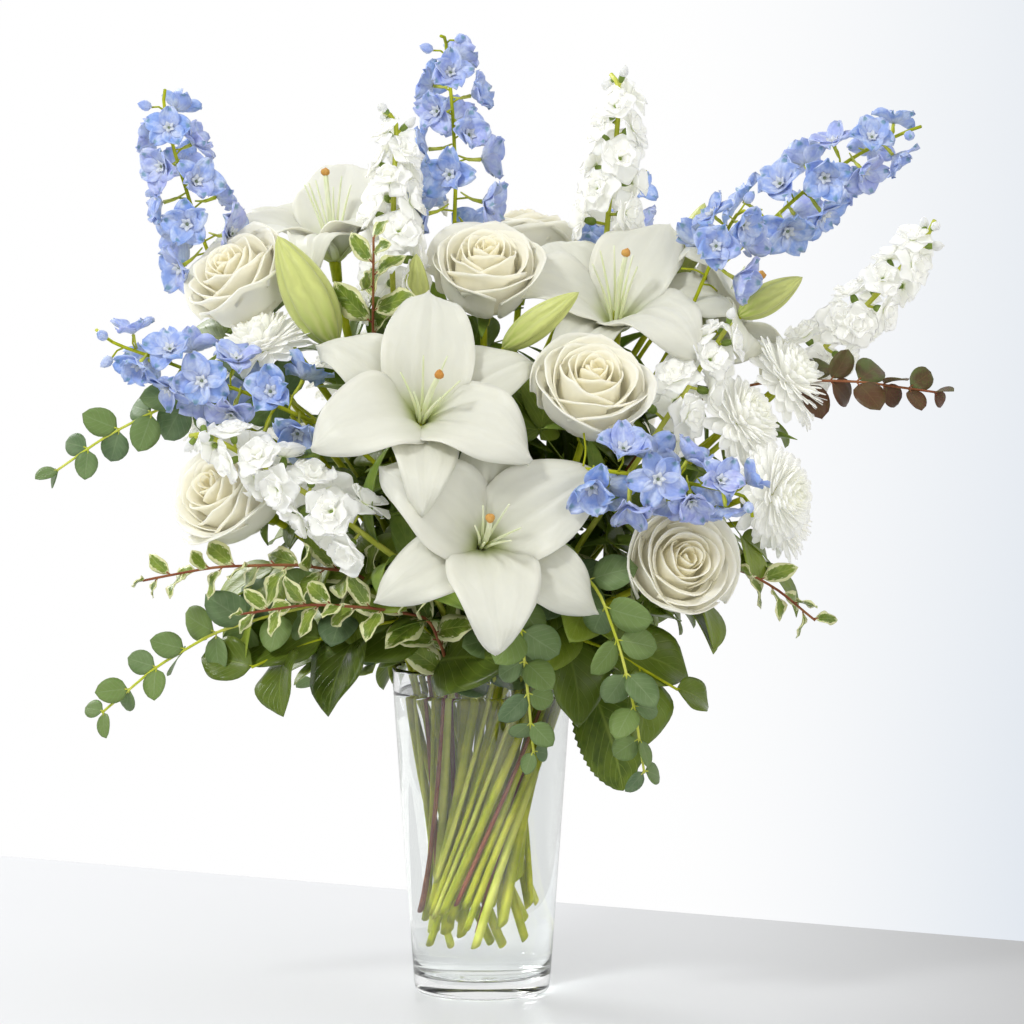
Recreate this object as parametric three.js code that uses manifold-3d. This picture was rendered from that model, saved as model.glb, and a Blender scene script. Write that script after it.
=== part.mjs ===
// A bouquet of white lilies with roses, chrysanthemums, stock, delphinium and foliage in a tall glass vase.
// Millimetres, +Z up. The origin is the centre of the vase's base. Everything that grows is placed from the
// centre of the vase's mouth, with -Y towards the front of the bouquet.
import * as THREE from "three";
import { mergeVertices } from "three/addons/utils/BufferGeometryUtils.js";
import Module from "manifold-3d";

const wasm = await Module();
wasm.setup();

// ---- Driving dimensions -------------------------------------------------------------------------------------

const VASE = { height: 229, mouthRadius: 63.5, baseRadius: 47.5, wall: 3.4, floor: 12, heel: 5, sides: 32 };
const WATER_DROP = 18; // from the mouth down to the water
const WATER_FILM = 0.4; // between the water's solid and the glass or a stem
const CLEARANCE = 1.0; // between any two pieces that grow beside each other
const BUNCH = { waist: 27.5, footHeight: 26, footSpread: 40 }; // the bunch where it is tightest, and its cut ends
const STEM_SIDES = 5;
const STEM_STEP = 60; // longest straight stretch of a stem where it bends
const FINENESS = 0.05; // the furthest a surface may move when needless corners are dropped

const STEM_RADIUS = {
  lily: 3.4,
  rose: 2.8,
  chrysanthemum: 2.2,
  stock: 2.8,
  delphinium: 2.3,
  eucalyptus: 1.6,
  gum: 1.5,
  pittosporum: 1.5,
  salal: 1.7,
};

const LILY = { tepal: 104, inner: 58, outer: 42, thick: 1.6, throat: 5, lead: 1.06, style: 66, filament: 52 };
const LILY_BUD = { length: 76, width: 25 };
const ROSE = { radius: 43, height: 66 };
const CHRYSANTHEMUM = { radius: 35, height: 30 };
const FLORET = {
  stock: { reach: 24, radius: 17, sides: 5, spacing: 23, ring: 2, taper: 0.45, turn: 68 },
  delphinium: { reach: 28, radius: 16, sides: 4, spacing: 14, ring: 1, taper: 0.45, turn: 137 },
};
const LEAF = {
  eucalyptus: { length: 30, width: 22, thick: 1.4, spacing: 30, ring: 2, taper: 0.45, lift: 0.75, turn: 90 },
  gum: { length: 22, width: 15, thick: 1.4, spacing: 24, ring: 2, taper: 0.5, lift: 0.8, turn: 90 },
  pittosporum: { length: 31, width: 17, thick: 1.4, spacing: 24, ring: 2, taper: 0.3, lift: 0.9, turn: 75 },
  salal: { length: 74, width: 50, thick: 1.6, spacing: 27, ring: 1, taper: 0.15, lift: 0.15, turn: 180 },
};

// ---- Where everything stands, from the centre of the mouth ---------------------------------------------------

// A lily: its throat, the way it looks, the turn of its longest tepal, and the base and tip of each bud.
const LILIES = [
  { name: "lily_front_upper", at: [-40, -122, 172], faces: [0.12, -0.8, 0.58], turn: 84,
    buds: [[[-98, -74, 222], [-138, -78, 300]]] },
  { name: "lily_front_lower", at: [0, -134, 94], faces: [0.18, -0.93, 0.28], turn: 268,
    buds: [[[12, -96, 222], [66, -116, 262]]] },
  { name: "lily_back_right", at: [92, -14, 232], faces: [0.02, -0.55, 0.84], turn: 62,
    buds: [[[136, 20, 268], [156, 14, 324]]] },
  { name: "lily_back_left", at: [-104, 36, 280], faces: [-0.1, -0.28, 0.95], turn: 100,
    buds: [[[-46, -48, 236], [-44, -66, 288]]] },
  { name: "lily_right", at: [150, 34, 226], faces: [0.74, -0.02, 0.66], turn: 20,
    buds: [[[176, -24, 244], [222, -24, 272]]] },
];

// A rose: the top of its stem and the way it looks.
const ROSES = [
  { name: "rose_centre", at: [70, -104, 170], faces: [0.12, -0.66, 0.74] },
  { name: "rose_low_right", at: [122, -94, 70], faces: [0.3, -0.9, 0.3] },
  { name: "rose_top", at: [2, -22, 248], faces: [0.0, -0.6, 0.8] },
  { name: "rose_upper_left", at: [-148, -28, 246], faces: [-0.5, -0.5, 0.68] },
  { name: "rose_low_left", at: [-148, -64, 110], faces: [-0.66, -0.62, 0.42] },
  { name: "rose_back_top", at: [26, 70, 262], faces: [0.05, 0.1, 0.98] },
  { name: "rose_back", at: [74, 108, 160], faces: [0.35, 0.85, 0.38] },
];

// A chrysanthemum: the top of its stem and the way it looks.
const CHRYSANTHEMUMS = [
  { name: "chrysanthemum_left", at: [-146, -66, 214], faces: [-0.3, -0.62, 0.72] },
  { name: "chrysanthemum_far_left", at: [-178, -36, 176], faces: [-0.88, -0.4, 0.22] },
  { name: "chrysanthemum_right", at: [168, -60, 170], faces: [0.3, -0.8, 0.5] },
  { name: "chrysanthemum_mid_right", at: [188, -84, 126], faces: [0.42, -0.88, 0.2] },
  { name: "chrysanthemum_far_right", at: [202, -16, 192], faces: [0.72, -0.4, 0.56] },
  { name: "chrysanthemum_side", at: [196, -34, 104], faces: [0.96, -0.22, -0.08] },
  { name: "chrysanthemum_back_left", at: [-92, 108, 196], faces: [-0.4, 0.76, 0.5] },
  { name: "chrysanthemum_back_low", at: [-10, 128, 104], faces: [-0.08, 0.98, 0.14] },
];

// A spray: where its flowers or leaves begin, its tip, and how far its middle bows.
const SPRAYS = [
  { name: "stock_left", kind: "stock", from: [-72, -128, 96], to: [-190, -136, 172], bow: [0, 0, 8] },
  { name: "stock_upper_left", kind: "stock", from: [-60, -52, 236], to: [-58, -22, 386], bow: [-4, 0, 0] },
  { name: "stock_top", kind: "stock", from: [86, 34, 286], to: [98, 26, 412], bow: [0, 0, 0] },
  { name: "stock_right", kind: "stock", from: [212, 18, 196], to: [318, 20, 306], bow: [0, 0, -8] },
  { name: "stock_centre_right", kind: "stock", from: [116, -86, 162], to: [172, -62, 244], bow: [0, -6, 0] },
  { name: "stock_back", kind: "stock", from: [-120, 92, 120], to: [-196, 130, 240], bow: [0, 0, -6] },
  { name: "delphinium_left", kind: "delphinium", from: [-180, -4, 262], to: [-222, -22, 402], bow: [-8, 0, 0] },
  { name: "delphinium_top", kind: "delphinium", from: [-20, 8, 290], to: [-26, 2, 440], bow: [8, 0, 0] },
  { name: "delphinium_far_right", kind: "delphinium", from: [186, 22, 296], to: [306, 4, 378], bow: [-6, 0, 16] },
  { name: "delphinium_right", kind: "delphinium", from: [142, -34, 246], to: [178, -48, 322], bow: [0, 0, 6] },
  { name: "delphinium_low_left", kind: "delphinium", from: [-100, -92, 168], to: [-254, -112, 230], bow: [0, 0, 6] },
  { name: "delphinium_centre_right", kind: "delphinium", from: [60, -150, 146], to: [184, -158, 126], bow: [0, 0, 6] },
  { name: "delphinium_back", kind: "delphinium", from: [52, 96, 236], to: [118, 136, 350], bow: [0, 0, 0] },
  { name: "eucalyptus_left", kind: "eucalyptus", from: [-178, -76, 196], to: [-292, -78, 138], bow: [0, 0, 16] },
  { name: "eucalyptus_low_left", kind: "eucalyptus", from: [-140, -92, 44], to: [-258, -88, -24], bow: [0, 0, 24] },
  { name: "eucalyptus_front", kind: "eucalyptus", from: [26, -146, 50], to: [36, -112, -52], bow: [0, -14, 0] },
  { name: "eucalyptus_front_right", kind: "eucalyptus", from: [78, -146, 66], to: [110, -122, -62], bow: [8, -12, 8] },
  { name: "eucalyptus_back", kind: "eucalyptus", from: [-70, 132, 60], to: [-128, 184, -30], bow: [0, 10, 20] },
  { name: "gum_right", kind: "gum", from: [200, -18, 200], to: [318, -26, 192], bow: [0, 0, 8] },
  { name: "pittosporum_left", kind: "pittosporum", from: [-66, -122, 50], to: [-160, -142, 48], bow: [0, 0, 10] },
  { name: "pittosporum_low_left", kind: "pittosporum", from: [-120, -104, 78], to: [-230, -118, 68], bow: [0, 0, 10] },
  { name: "pittosporum_upper_left", kind: "pittosporum", from: [-74, -62, 232], to: [-72, -96, 300], bow: [0, 0, 0] },
  { name: "pittosporum_right", kind: "pittosporum", from: [170, -96, 76], to: [226, -104, 40], bow: [0, 0, 10] },
  { name: "salal_left", kind: "salal", from: [-46, -72, 38], to: [-158, -104, 8], bow: [0, 0, 12] },
  { name: "salal_right", kind: "salal", from: [38, -76, 36], to: [138, -96, -10], bow: [0, 0, 12] },
  { name: "salal_back", kind: "salal", from: [14, 74, 40], to: [112, 122, 16], bow: [0, 0, 12] },
];

const COLOUR = {
  glass: 0xe8f0f2,
  water: 0xdfeef2,
  ivory: 0xf4f1e4,
  cream: 0xf3ead2,
  white: 0xf5f5f0,
  blue: 0x7f9fe6,
  stem: 0x86a340,
  silver: 0x6f8f72,
  bronze: 0x6b5a3c,
  edged: 0x8ea657,
  dark: 0x2f5a26,
};
const COLOUR_OF = {
  stock: COLOUR.white,
  delphinium: COLOUR.blue,
  eucalyptus: COLOUR.silver,
  gum: COLOUR.bronze,
  pittosporum: COLOUR.edged,
  salal: COLOUR.dark,
};

// ---- Solids ---------------------------------------------------------------------------------------------------

const { degToRad } = THREE.MathUtils;
const vector = (xyz) => new THREE.Vector3(...xyz);
const Z = new THREE.Vector3(0, 0, 1);

// A closed geometry as a solid that can be joined and cut.
function solidOf(geometry) {
  const bare = geometry.clone();
  bare.deleteAttribute("normal");
  bare.deleteAttribute("uv");
  const merged = mergeVertices(bare, 1e-4);
  const vertProperties = merged.attributes.position.array;
  const triVerts = new Uint32Array(merged.index.array);
  return new wasm.Manifold(new wasm.Mesh({ numProp: 3, vertProperties, triVerts }));
}

function geometryOf(solid) {
  const { numProp, numVert, vertProperties, triVerts } = solid.getMesh();
  const position = new Float32Array(numVert * 3);
  for (let i = 0; i < numVert; i++) {
    position.set(vertProperties.subarray(i * numProp, i * numProp + 3), i * 3);
  }
  const geometry = new THREE.BufferGeometry();
  geometry.setAttribute("position", new THREE.BufferAttribute(position, 3));
  geometry.setIndex(new THREE.BufferAttribute(new Uint32Array(triVerts), 1));
  geometry.computeVertexNormals();
  return geometry;
}

// The largest body of a solid, once its neighbours have been cut out of it.
function mainBody(solid) {
  return solid.decompose().reduce((best, body) => (body.volume() > best.volume() ? body : best));
}

const join = (solids) => wasm.Manifold.union(solids);

// A turned shape on the Z axis, from [radius, height] pairs that run upwards from the axis and back to it.
function turned(profile, sides) {
  const points = profile.map(([r, z]) => new THREE.Vector2(r, z));
  return new THREE.LatheGeometry(points, sides).rotateX(Math.PI / 2);
}

// A round bar of the given radius through a row of points, with flat ends.
function bar(points, radius, sides = STEM_SIDES) {
  const position = [];
  let across = new THREE.Vector3(1, 0.2, 0.1);
  points.forEach((point, i) => {
    const ahead = points[Math.min(i + 1, points.length - 1)].clone().sub(points[Math.max(i - 1, 0)]).normalize();
    across = across.clone().addScaledVector(ahead, -across.dot(ahead)).normalize();
    const other = new THREE.Vector3().crossVectors(ahead, across);
    for (let j = 0; j < sides; j++) {
      const angle = (j * 2 * Math.PI) / sides;
      const corner = point.clone().addScaledVector(across, radius * Math.cos(angle));
      position.push(...corner.addScaledVector(other, radius * Math.sin(angle)));
    }
  });
  const index = [];
  const last = (points.length - 1) * sides;
  for (let j = 0; j < sides; j++) {
    const next = (j + 1) % sides;
    for (let i = 0; i < last; i += sides) {
      index.push(i + j, i + next, i + sides + next, i + j, i + sides + next, i + sides + j);
    }
    if (j > 0 && next > 0) index.push(0, next, j, last, last + j, last + next);
  }
  const geometry = new THREE.BufferGeometry();
  geometry.setAttribute("position", new THREE.Float32BufferAttribute(position, 3));
  return geometry.setIndex(index);
}

// Points along a curve, close enough together to follow it.
const along = (curve, step = STEM_STEP) => curve.getPoints(Math.max(2, Math.ceil(curve.getLength() / step)));

// A leaf, tepal or bud: it grows from the origin, rises at the angle `open` and bends by `curl` on its way.
// `cup` lifts its long edges, `peak` under 1 puts its widest place nearer the base, and `ease` fattens it.
function blade({ length, width, thick, open = 0, curl = 0.001, cup = 0, peak = 1, sides = 4, rings = 3, ease = 0 }) {
  const geometry = new THREE.SphereGeometry(1, sides, rings);
  const position = geometry.attributes.position;
  for (let i = 0; i < position.count; i++) {
    const share = (1 - position.getY(i)) / 2;
    const round = Math.sqrt(Math.max(1e-9, 1 - position.getY(i) ** 2));
    const side = position.getX(i) / round;
    const up = position.getZ(i) / round;
    const pole = round < 1e-2;
    const swell = pole ? 0 : Math.sin(Math.PI * share ** peak);
    const half = (width / 2) * swell + (pole ? 0 : ease);
    const lift = up * ((thick / 2) * Math.sqrt(swell) + (pole ? 0 : ease)) + cup * side * side * half;
    const heading = open + curl * share;
    const end = (share * 2 - 1) * ease;
    const reach = (length / curl) * (Math.sin(heading) - Math.sin(open)) + Math.cos(heading) * end;
    const rise = (length / curl) * (Math.cos(open) - Math.cos(heading)) + Math.sin(heading) * end;
    position.setXYZ(i, reach - Math.sin(heading) * lift, side * half, rise + Math.cos(heading) * lift);
  }
  return geometry;
}

// Puts a shape made around the origin and looking along +Z at a place, turned about its own axis first.
function placed(geometry, at, faces, turn = 0) {
  const look = new THREE.Quaternion().setFromUnitVectors(Z, faces.clone().normalize());
  return geometry.rotateZ(turn).applyQuaternion(look).translate(at.x, at.y, at.z);
}

// As placed, but with the turn measured from straight up, as seen by someone whom the shape looks at.
function placedUpright(geometry, at, faces, turn) {
  const ahead = faces.clone().normalize();
  const right = new THREE.Vector3().crossVectors(Z, ahead).normalize();
  const basis = new THREE.Matrix4().makeBasis(right, new THREE.Vector3().crossVectors(ahead, right), ahead);
  return geometry.rotateZ(turn).applyMatrix4(basis).translate(at.x, at.y, at.z);
}

// ---- The bunch of stems ---------------------------------------------------------------------------------------

// Inside the vase the stems are straight and all slant the same way round, so no two of them meet: a level cut
// through the bunch is the pattern of the waist, turned and enlarged by `spread`.
const innerRadius = (height) =>
  VASE.baseRadius + ((VASE.mouthRadius - VASE.baseRadius) * height) / VASE.height - VASE.wall;
const thickest = Math.max(...Object.values(STEM_RADIUS));
const room = (height) => innerRadius(height) - thickest * 1.25 - CLEARANCE;
const slant = (height) => Math.sqrt(Math.max(0.04, (room(height) / BUNCH.waist) ** 2 - 1));
const slantBelow = slant(BUNCH.footHeight);
const slantAbove = slant(VASE.height);
const waistHeight =
  BUNCH.footHeight + ((VASE.height - BUNCH.footHeight) * slantBelow) / (slantBelow + slantAbove);
const twist = slantAbove / (VASE.height - waistHeight);

// The place of a stem with the given waist point, at a height over the mouth.
function inBunch(waist, z) {
  const turned = twist * (z + VASE.height - waistHeight);
  return new THREE.Vector3(waist.x - turned * waist.y, waist.y + turned * waist.x, z);
}

// Gives each stem a waist point that brings it out of the mouth below its flower, then eases them apart.
function gather(stems) {
  const quarter = Math.atan(slantAbove);
  for (const stem of stems) {
    const goal = stem.goal;
    const lean = Math.atan2(Math.hypot(goal.x, goal.y), Math.max(20, goal.z));
    const radius = BUNCH.waist * Math.min(1, 0.25 + 0.75 * (lean / degToRad(75)));
    const angle = Math.atan2(goal.y, goal.x) - quarter;
    stem.waist = new THREE.Vector2(radius * Math.cos(angle), radius * Math.sin(angle));
  }
  const rounds = 400;
  for (let round = 0; round < rounds; round++) {
    stems.forEach((a, i) =>
      stems.slice(i + 1).forEach((b) => {
        const apart = b.waist.clone().sub(a.waist);
        const needed = (a.radius + b.radius) * 1.12 + CLEARANCE;
        const short = needed - apart.length();
        if (short <= 0) return;
        apart.setLength(short / 2);
        a.waist.sub(apart);
        b.waist.add(apart);
      }),
    );
    for (const stem of stems) stem.waist.clampLength(0, BUNCH.waist);
  }
}

// A stem's points: straight from its cut end to just over the mouth, then a bend to where it starts to flower.
function stemPoints({ waist, foot, start, towards }) {
  const over = 6;
  const cut = inBunch(waist, foot);
  const out = inBunch(waist, over);
  const leaving = out.clone().sub(cut).normalize();
  const span = start.distanceTo(out);
  const bend = new THREE.CubicBezierCurve3(
    out,
    out.clone().addScaledVector(leaving, span * 0.36),
    start.clone().addScaledVector(towards, -span * 0.3),
    start,
  );
  return [cut, ...along(bend)];
}

// ---- The vase -------------------------------------------------------------------------------------------------

const outerRadius = (height) => innerRadius(height) + VASE.wall;

function glass() {
  const { height, heel, floor, baseRadius } = VASE;
  const lip = VASE.wall / 2;
  const profile = [
    [0, 0],
    [baseRadius - heel, 0],
    [baseRadius - heel * 0.25, heel * 0.28],
    [outerRadius(heel), heel],
    [outerRadius(height - lip), height - lip],
    [outerRadius(height) - lip, height],
    [innerRadius(height - lip), height - lip],
    [innerRadius(floor + heel), floor + heel],
    [innerRadius(floor) - heel, floor],
    [0, floor],
  ];
  return solidOf(turned(profile, VASE.sides));
}

// The whole space of the vase and what it holds, which no leaf or petal reaches into.
function vaseSpace() {
  const [foot, mouth] = [VASE.baseRadius + CLEARANCE, VASE.mouthRadius + CLEARANCE];
  const profile = [[0, -CLEARANCE], [foot, -CLEARANCE], [mouth, VASE.height + CLEARANCE], [0, VASE.height + CLEARANCE]];
  return solidOf(turned(profile, VASE.sides));
}

// ---- Flowers and leaves: each gives its solid, fattened by `ease` when it is used to cut a neighbour -----------

function lilyBloom({ at, faces, turn }, ease) {
  const tepals = [0, 1, 2, 3, 4, 5].map((i) => {
    const inner = i % 2 === 0;
    const shape = blade({
      length: LILY.tepal * (i === 0 ? LILY.lead : inner ? 1 : 0.97),
      width: inner ? LILY.inner : LILY.outer,
      thick: LILY.thick,
      open: degToRad(inner ? 66 : 58),
      curl: degToRad(inner ? -72 : -76),
      cup: 0.16,
      peak: 0.92,
      rings: 5,
      ease,
    });
    shape.translate(LILY.throat * 0.5, 0, inner ? LILY.thick : 0).rotateZ((i * Math.PI) / 3);
    return solidOf(placedUpright(shape, at, faces, turn));
  });
  return join(tepals);
}

// The middle of a lily: the swelling that the tepals stand on, the style with its stigma, and six filaments.
function lilyMiddle({ at, faces, turn }, ease) {
  const base = turned([[0, -14], [4.2 + ease, -14], [4.6 + ease, -3], [2.4 + ease, 8], [0, 9]], 6);
  const stigma = turned(
    [[0, LILY.style - 6], [4 + ease, LILY.style], [0, LILY.style + 2 + ease]],
    5,
  );
  const style = bar([new THREE.Vector3(0, 0, 4), new THREE.Vector3(0, 0, LILY.style - 2)], 1.5 + ease);
  const filaments = Array.from({ length: 6 }, (_, i) => {
    const points = [new THREE.Vector3(1, 0, 2), new THREE.Vector3(17, 0, LILY.filament)];
    return bar(points, 0.9 + ease, 3).rotateZ(((i + 0.5) * Math.PI) / 3);
  });
  return join([base, style, stigma, ...filaments].map((g) => solidOf(placedUpright(g, at, faces, turn))));
}

// A closed bud from its base to its tip.
function lilyBud([base, tip], ease) {
  const length = base.distanceTo(tip);
  const width = LILY_BUD.width * Math.min(1, length / LILY_BUD.length + 0.1);
  const shape = blade({ length, width, thick: width, peak: 0.85, sides: 6, rings: 5, ease }).rotateY(-Math.PI / 2);
  return solidOf(placed(shape, base, tip.clone().sub(base)));
}

function roseBloom({ at, faces }, ease) {
  const { radius: r, height: h } = ROSE;
  const profile = [[0, 0], [0.34, 0.03], [0.72, 0.22], [0.98, 0.62], [0.9, 0.9], [0.5, 1], [0, 0.94]];
  const grown = profile.map(([x, z]) => [x * r + (x ? ease : 0), z * h + ease * Math.sign(z - 0.5)]);
  return solidOf(placed(turned(grown, 9), at, faces));
}

function chrysanthemumBloom({ at, faces }, ease) {
  const { radius: r, height: h } = CHRYSANTHEMUM;
  const profile = [[0, 0], [0.26, 0.05], [0.4, 0.3], [1, 0.46], [0.94, 0.66], [0.56, 0.94], [0, 1]];
  const grown = profile.map(([x, z]) => [x * r + (x ? ease : 0), z * h + ease * Math.sign(z - 0.5)]);
  return solidOf(placed(turned(grown, 10), at, faces));
}

// Rings of florets or leaves up a spray, each ring turned past the last, and smaller towards the tip.
function alongSpray({ flowering }, { spacing, ring, taper, turn }, make) {
  const count = Math.max(2, Math.round(flowering.getLength() / spacing));
  const made = [];
  for (let i = 0; i < count; i++) {
    const share = (i + 0.5) / count;
    const at = flowering.getPointAt(share);
    const ahead = flowering.getTangentAt(share);
    const size = 1 - taper * share;
    for (let j = 0; j < ring; j++) {
      made.push(make(at, ahead, size, degToRad(i * turn + (j * 360) / ring)));
    }
  }
  return join(made);
}

// A floret is a cone that opens away from the stem and a little towards the tip.
function florets(spray, ease) {
  const form = FLORET[spray.kind];
  return alongSpray(spray, form, (at, ahead, size, angle) => {
    const cone = new THREE.ConeGeometry(form.radius * size + ease, form.reach * size + ease, form.sides);
    cone.rotateX(-Math.PI / 2).translate(0, 0, (form.reach * size) / 2);
    cone.rotateY(degToRad(66)).rotateZ(angle);
    return solidOf(placed(cone, at, ahead));
  });
}

function leaves(spray, ease) {
  const form = LEAF[spray.kind];
  return alongSpray(spray, form, (at, ahead, size, angle) => {
    const leaf = blade({
      length: form.length * size,
      width: form.width * size,
      thick: form.thick,
      open: form.lift,
      curl: -0.5,
      cup: 0.12,
      ease,
    });
    return solidOf(placed(leaf.rotateZ(angle), at, ahead));
  });
}

// ---- The plan: every stem, and every crown of flowers or leaves -------------------------------------------------

const vectors = ({ buds = [], ...plan }) => ({
  ...plan,
  at: vector(plan.at),
  faces: vector(plan.faces).normalize(),
  buds: buds.map((ends) => ends.map(vector)),
});

const plants = [
  ...LILIES.map((plan) => ({ ...vectors(plan), turn: degToRad(plan.turn), kind: "lily" })),
  ...ROSES.map((plan) => ({ ...vectors(plan), kind: "rose" })),
  ...CHRYSANTHEMUMS.map((plan) => ({ ...vectors(plan), kind: "chrysanthemum" })),
  ...SPRAYS.map((plan) => ({ ...plan, from: vector(plan.from), to: vector(plan.to), bow: vector(plan.bow) })),
];

// Where the bare stem ends: below the bloom, or where a spray starts to flower.
const NECK = { lily: 13, rose: 0.3, chrysanthemum: -2 };
for (const [i, plant] of plants.entries()) {
  const spray = Boolean(plant.from);
  plant.radius = STEM_RADIUS[plant.kind];
  plant.towards = spray ? plant.to.clone().sub(plant.from).normalize() : plant.faces;
  plant.start = spray ? plant.from : plant.at.clone().addScaledVector(plant.faces, -NECK[plant.kind]);
  plant.goal = plant.start;
  plant.foot = BUNCH.footHeight + BUNCH.footSpread * ((i * 0.618) % 1) - VASE.height;
  if (!spray) continue;
  const middle = plant.from.clone().add(plant.to).multiplyScalar(0.5).add(plant.bow);
  plant.flowering = new THREE.QuadraticBezierCurve3(plant.from, middle, plant.to);
}
gather(plants);

// A bud's stalk runs from a place on the main stem to the base of the bud.
function budStalk(points, [base, tip], radius) {
  const below = points.at(-3);
  const fork = points.at(-2);
  const reach = fork.distanceTo(base);
  const aim = tip.clone().sub(base).normalize();
  const curve = new THREE.CubicBezierCurve3(
    fork,
    fork.clone().addScaledVector(fork.clone().sub(below).normalize(), reach * 0.3),
    base.clone().addScaledVector(aim, -reach * 0.35),
    base.clone().addScaledVector(aim, 4),
  );
  return bar(along(curve, 36), radius);
}

// Each plant as a function of how much it is fattened: its stem, and the crown that is cut round other stems.
for (const plant of plants) {
  const points = stemPoints(plant);
  plant.stem = (ease) => {
    const flowering = plant.flowering ? along(plant.flowering).slice(1) : [];
    const bars = [bar([...points, ...flowering], plant.radius + ease)];
    for (const bud of plant.buds ?? []) bars.push(budStalk(points, bud, 1.9 + ease));
    return join(bars.map(solidOf));
  };
  plant.crown = (ease) => {
    if (plant.kind === "lily") return lilyBloom(plant, ease);
    if (plant.kind === "rose") return roseBloom(plant, ease);
    if (plant.kind === "chrysanthemum") return chrysanthemumBloom(plant, ease);
    return FLORET[plant.kind] ? florets(plant, ease) : leaves(plant, ease);
  };
}

// ---- Nodes -----------------------------------------------------------------------------------------------------

const bouquet = new THREE.Group();
bouquet.position.z = VASE.height;

function addNode(parent, name, solid, home, colour, finish = {}) {
  const geometry = geometryOf(mainBody(solid.simplify(FINENESS))).translate(-home.x, -home.y, -home.z);
  const material = new THREE.MeshStandardMaterial({ color: colour, roughness: 0.6, metalness: 0, ...finish });
  const mesh = new THREE.Mesh(geometry, material);
  mesh.name = name;
  mesh.position.copy(home);
  parent.add(mesh);
}

const overlaps = (a, b) => {
  const [p, q] = [a.boundingBox(), b.boundingBox()];
  return [0, 1, 2].every((k) => p.min[k] < q.max[k] && q.min[k] < p.max[k]);
};

// Cuts out of a solid every taken space that reaches into it.
function cutBy(solid, taken) {
  const near = taken.filter((other) => overlaps(solid, other));
  return near.length ? solid.subtract(join(near)) : solid;
}

// The stems come first. A lily's stem also carries its middle and its buds.
for (const plant of plants) {
  const extras = plant.kind === "lily"
    ? (ease) => [lilyMiddle(plant, ease), ...plant.buds.map((bud) => lilyBud(bud, ease))]
    : () => [];
  plant.core = join([plant.stem(0), ...extras(0)]);
  plant.coreSpace = join([plant.stem(CLEARANCE), ...extras(CLEARANCE)]);
}

const SEPARATE_BLOOM = new Set(["lily", "rose"]);
const BLOOM_COLOUR = { lily: COLOUR.ivory, rose: COLOUR.cream, chrysanthemum: COLOUR.white };
const takenByStems = [];
for (const plant of plants) {
  plant.core = mainBody(cutBy(plant.core, takenByStems));
  takenByStems.push(plant.coreSpace);
}
const takenByCrowns = [vaseSpace().translate([0, 0, -VASE.height])];
for (const plant of plants) {
  const separate = SEPARATE_BLOOM.has(plant.kind);
  const otherStems = plants.filter((other) => other !== plant || separate).map((other) => other.coreSpace);
  const crown = cutBy(plant.crown(0), [...otherStems, ...takenByCrowns]);
  takenByCrowns.push(plant.crown(CLEARANCE));
  const colour = COLOUR_OF[plant.kind] ?? BLOOM_COLOUR[plant.kind];
  if (separate) {
    addNode(bouquet, `${plant.name}_bloom`, mainBody(crown), plant.at, colour);
    plant.node = `${plant.name}_stem`;
  } else {
    plant.core = mainBody(join([plant.core, crown]));
    plant.node = plant.name;
  }
}
// A crown can't reach into a stem, but a later stem's buds and stalks may: they are cut round the crowns' stems.
for (const plant of plants) {
  const colour = SEPARATE_BLOOM.has(plant.kind) ? COLOUR.stem : COLOUR_OF[plant.kind] ?? BLOOM_COLOUR[plant.kind];
  addNode(bouquet, plant.node, plant.core, plant.start, colour);
}

const waterTop = VASE.height - WATER_DROP;
const waterFoot = VASE.floor + WATER_FILM;
const waterGeometry = turned(
  [
    [0, waterFoot],
    [innerRadius(VASE.floor) - VASE.heel - WATER_FILM, waterFoot],
    [innerRadius(VASE.floor + VASE.heel) - WATER_FILM, VASE.floor + VASE.heel],
    [innerRadius(waterTop) - WATER_FILM, waterTop],
    [0, waterTop],
  ],
  VASE.sides,
);
const stemsInWater = takenByStems.map((space) => space.translate([0, 0, VASE.height]));
const water = mainBody(cutBy(solidOf(waterGeometry), stemsInWater));

const bouquetInVase = new THREE.Group();
const base = new THREE.Vector3();
addNode(bouquetInVase, "vase", glass(), base, COLOUR.glass, { roughness: 0.03, transparent: true, opacity: 0.35 });
addNode(bouquetInVase, "water", water, base, COLOUR.water, { roughness: 0.02, transparent: true, opacity: 0.3 });
bouquetInVase.add(bouquet);

export default bouquetInVase;
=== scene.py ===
"""A bouquet of lilies, roses, chrysanthemums, stock, delphinium and foliage in a glass vase of water.

Metres, +Z up, -Y towards the front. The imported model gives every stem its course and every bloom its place;
the petals, leaves, stems, glass and water are modelled around it here.
"""

import math
import random

import bmesh
import bpy
import numpy as np
from mathutils import Matrix, Quaternion, Vector, noise


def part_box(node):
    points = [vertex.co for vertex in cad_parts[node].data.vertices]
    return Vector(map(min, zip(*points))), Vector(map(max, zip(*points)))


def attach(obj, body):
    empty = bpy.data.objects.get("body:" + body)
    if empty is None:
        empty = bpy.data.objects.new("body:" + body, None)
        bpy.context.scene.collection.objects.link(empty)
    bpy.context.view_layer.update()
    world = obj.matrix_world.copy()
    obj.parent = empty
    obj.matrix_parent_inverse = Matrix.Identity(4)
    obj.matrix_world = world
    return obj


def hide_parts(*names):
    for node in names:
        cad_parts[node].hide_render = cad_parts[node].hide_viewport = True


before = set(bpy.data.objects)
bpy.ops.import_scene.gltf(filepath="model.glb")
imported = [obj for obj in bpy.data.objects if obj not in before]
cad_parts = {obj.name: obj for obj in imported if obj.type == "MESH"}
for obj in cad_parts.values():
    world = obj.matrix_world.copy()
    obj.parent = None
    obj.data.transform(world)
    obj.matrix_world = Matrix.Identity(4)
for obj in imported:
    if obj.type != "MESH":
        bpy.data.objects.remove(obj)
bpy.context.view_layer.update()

TAU = 2 * math.pi
GOLDEN = math.radians(137.5)
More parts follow.
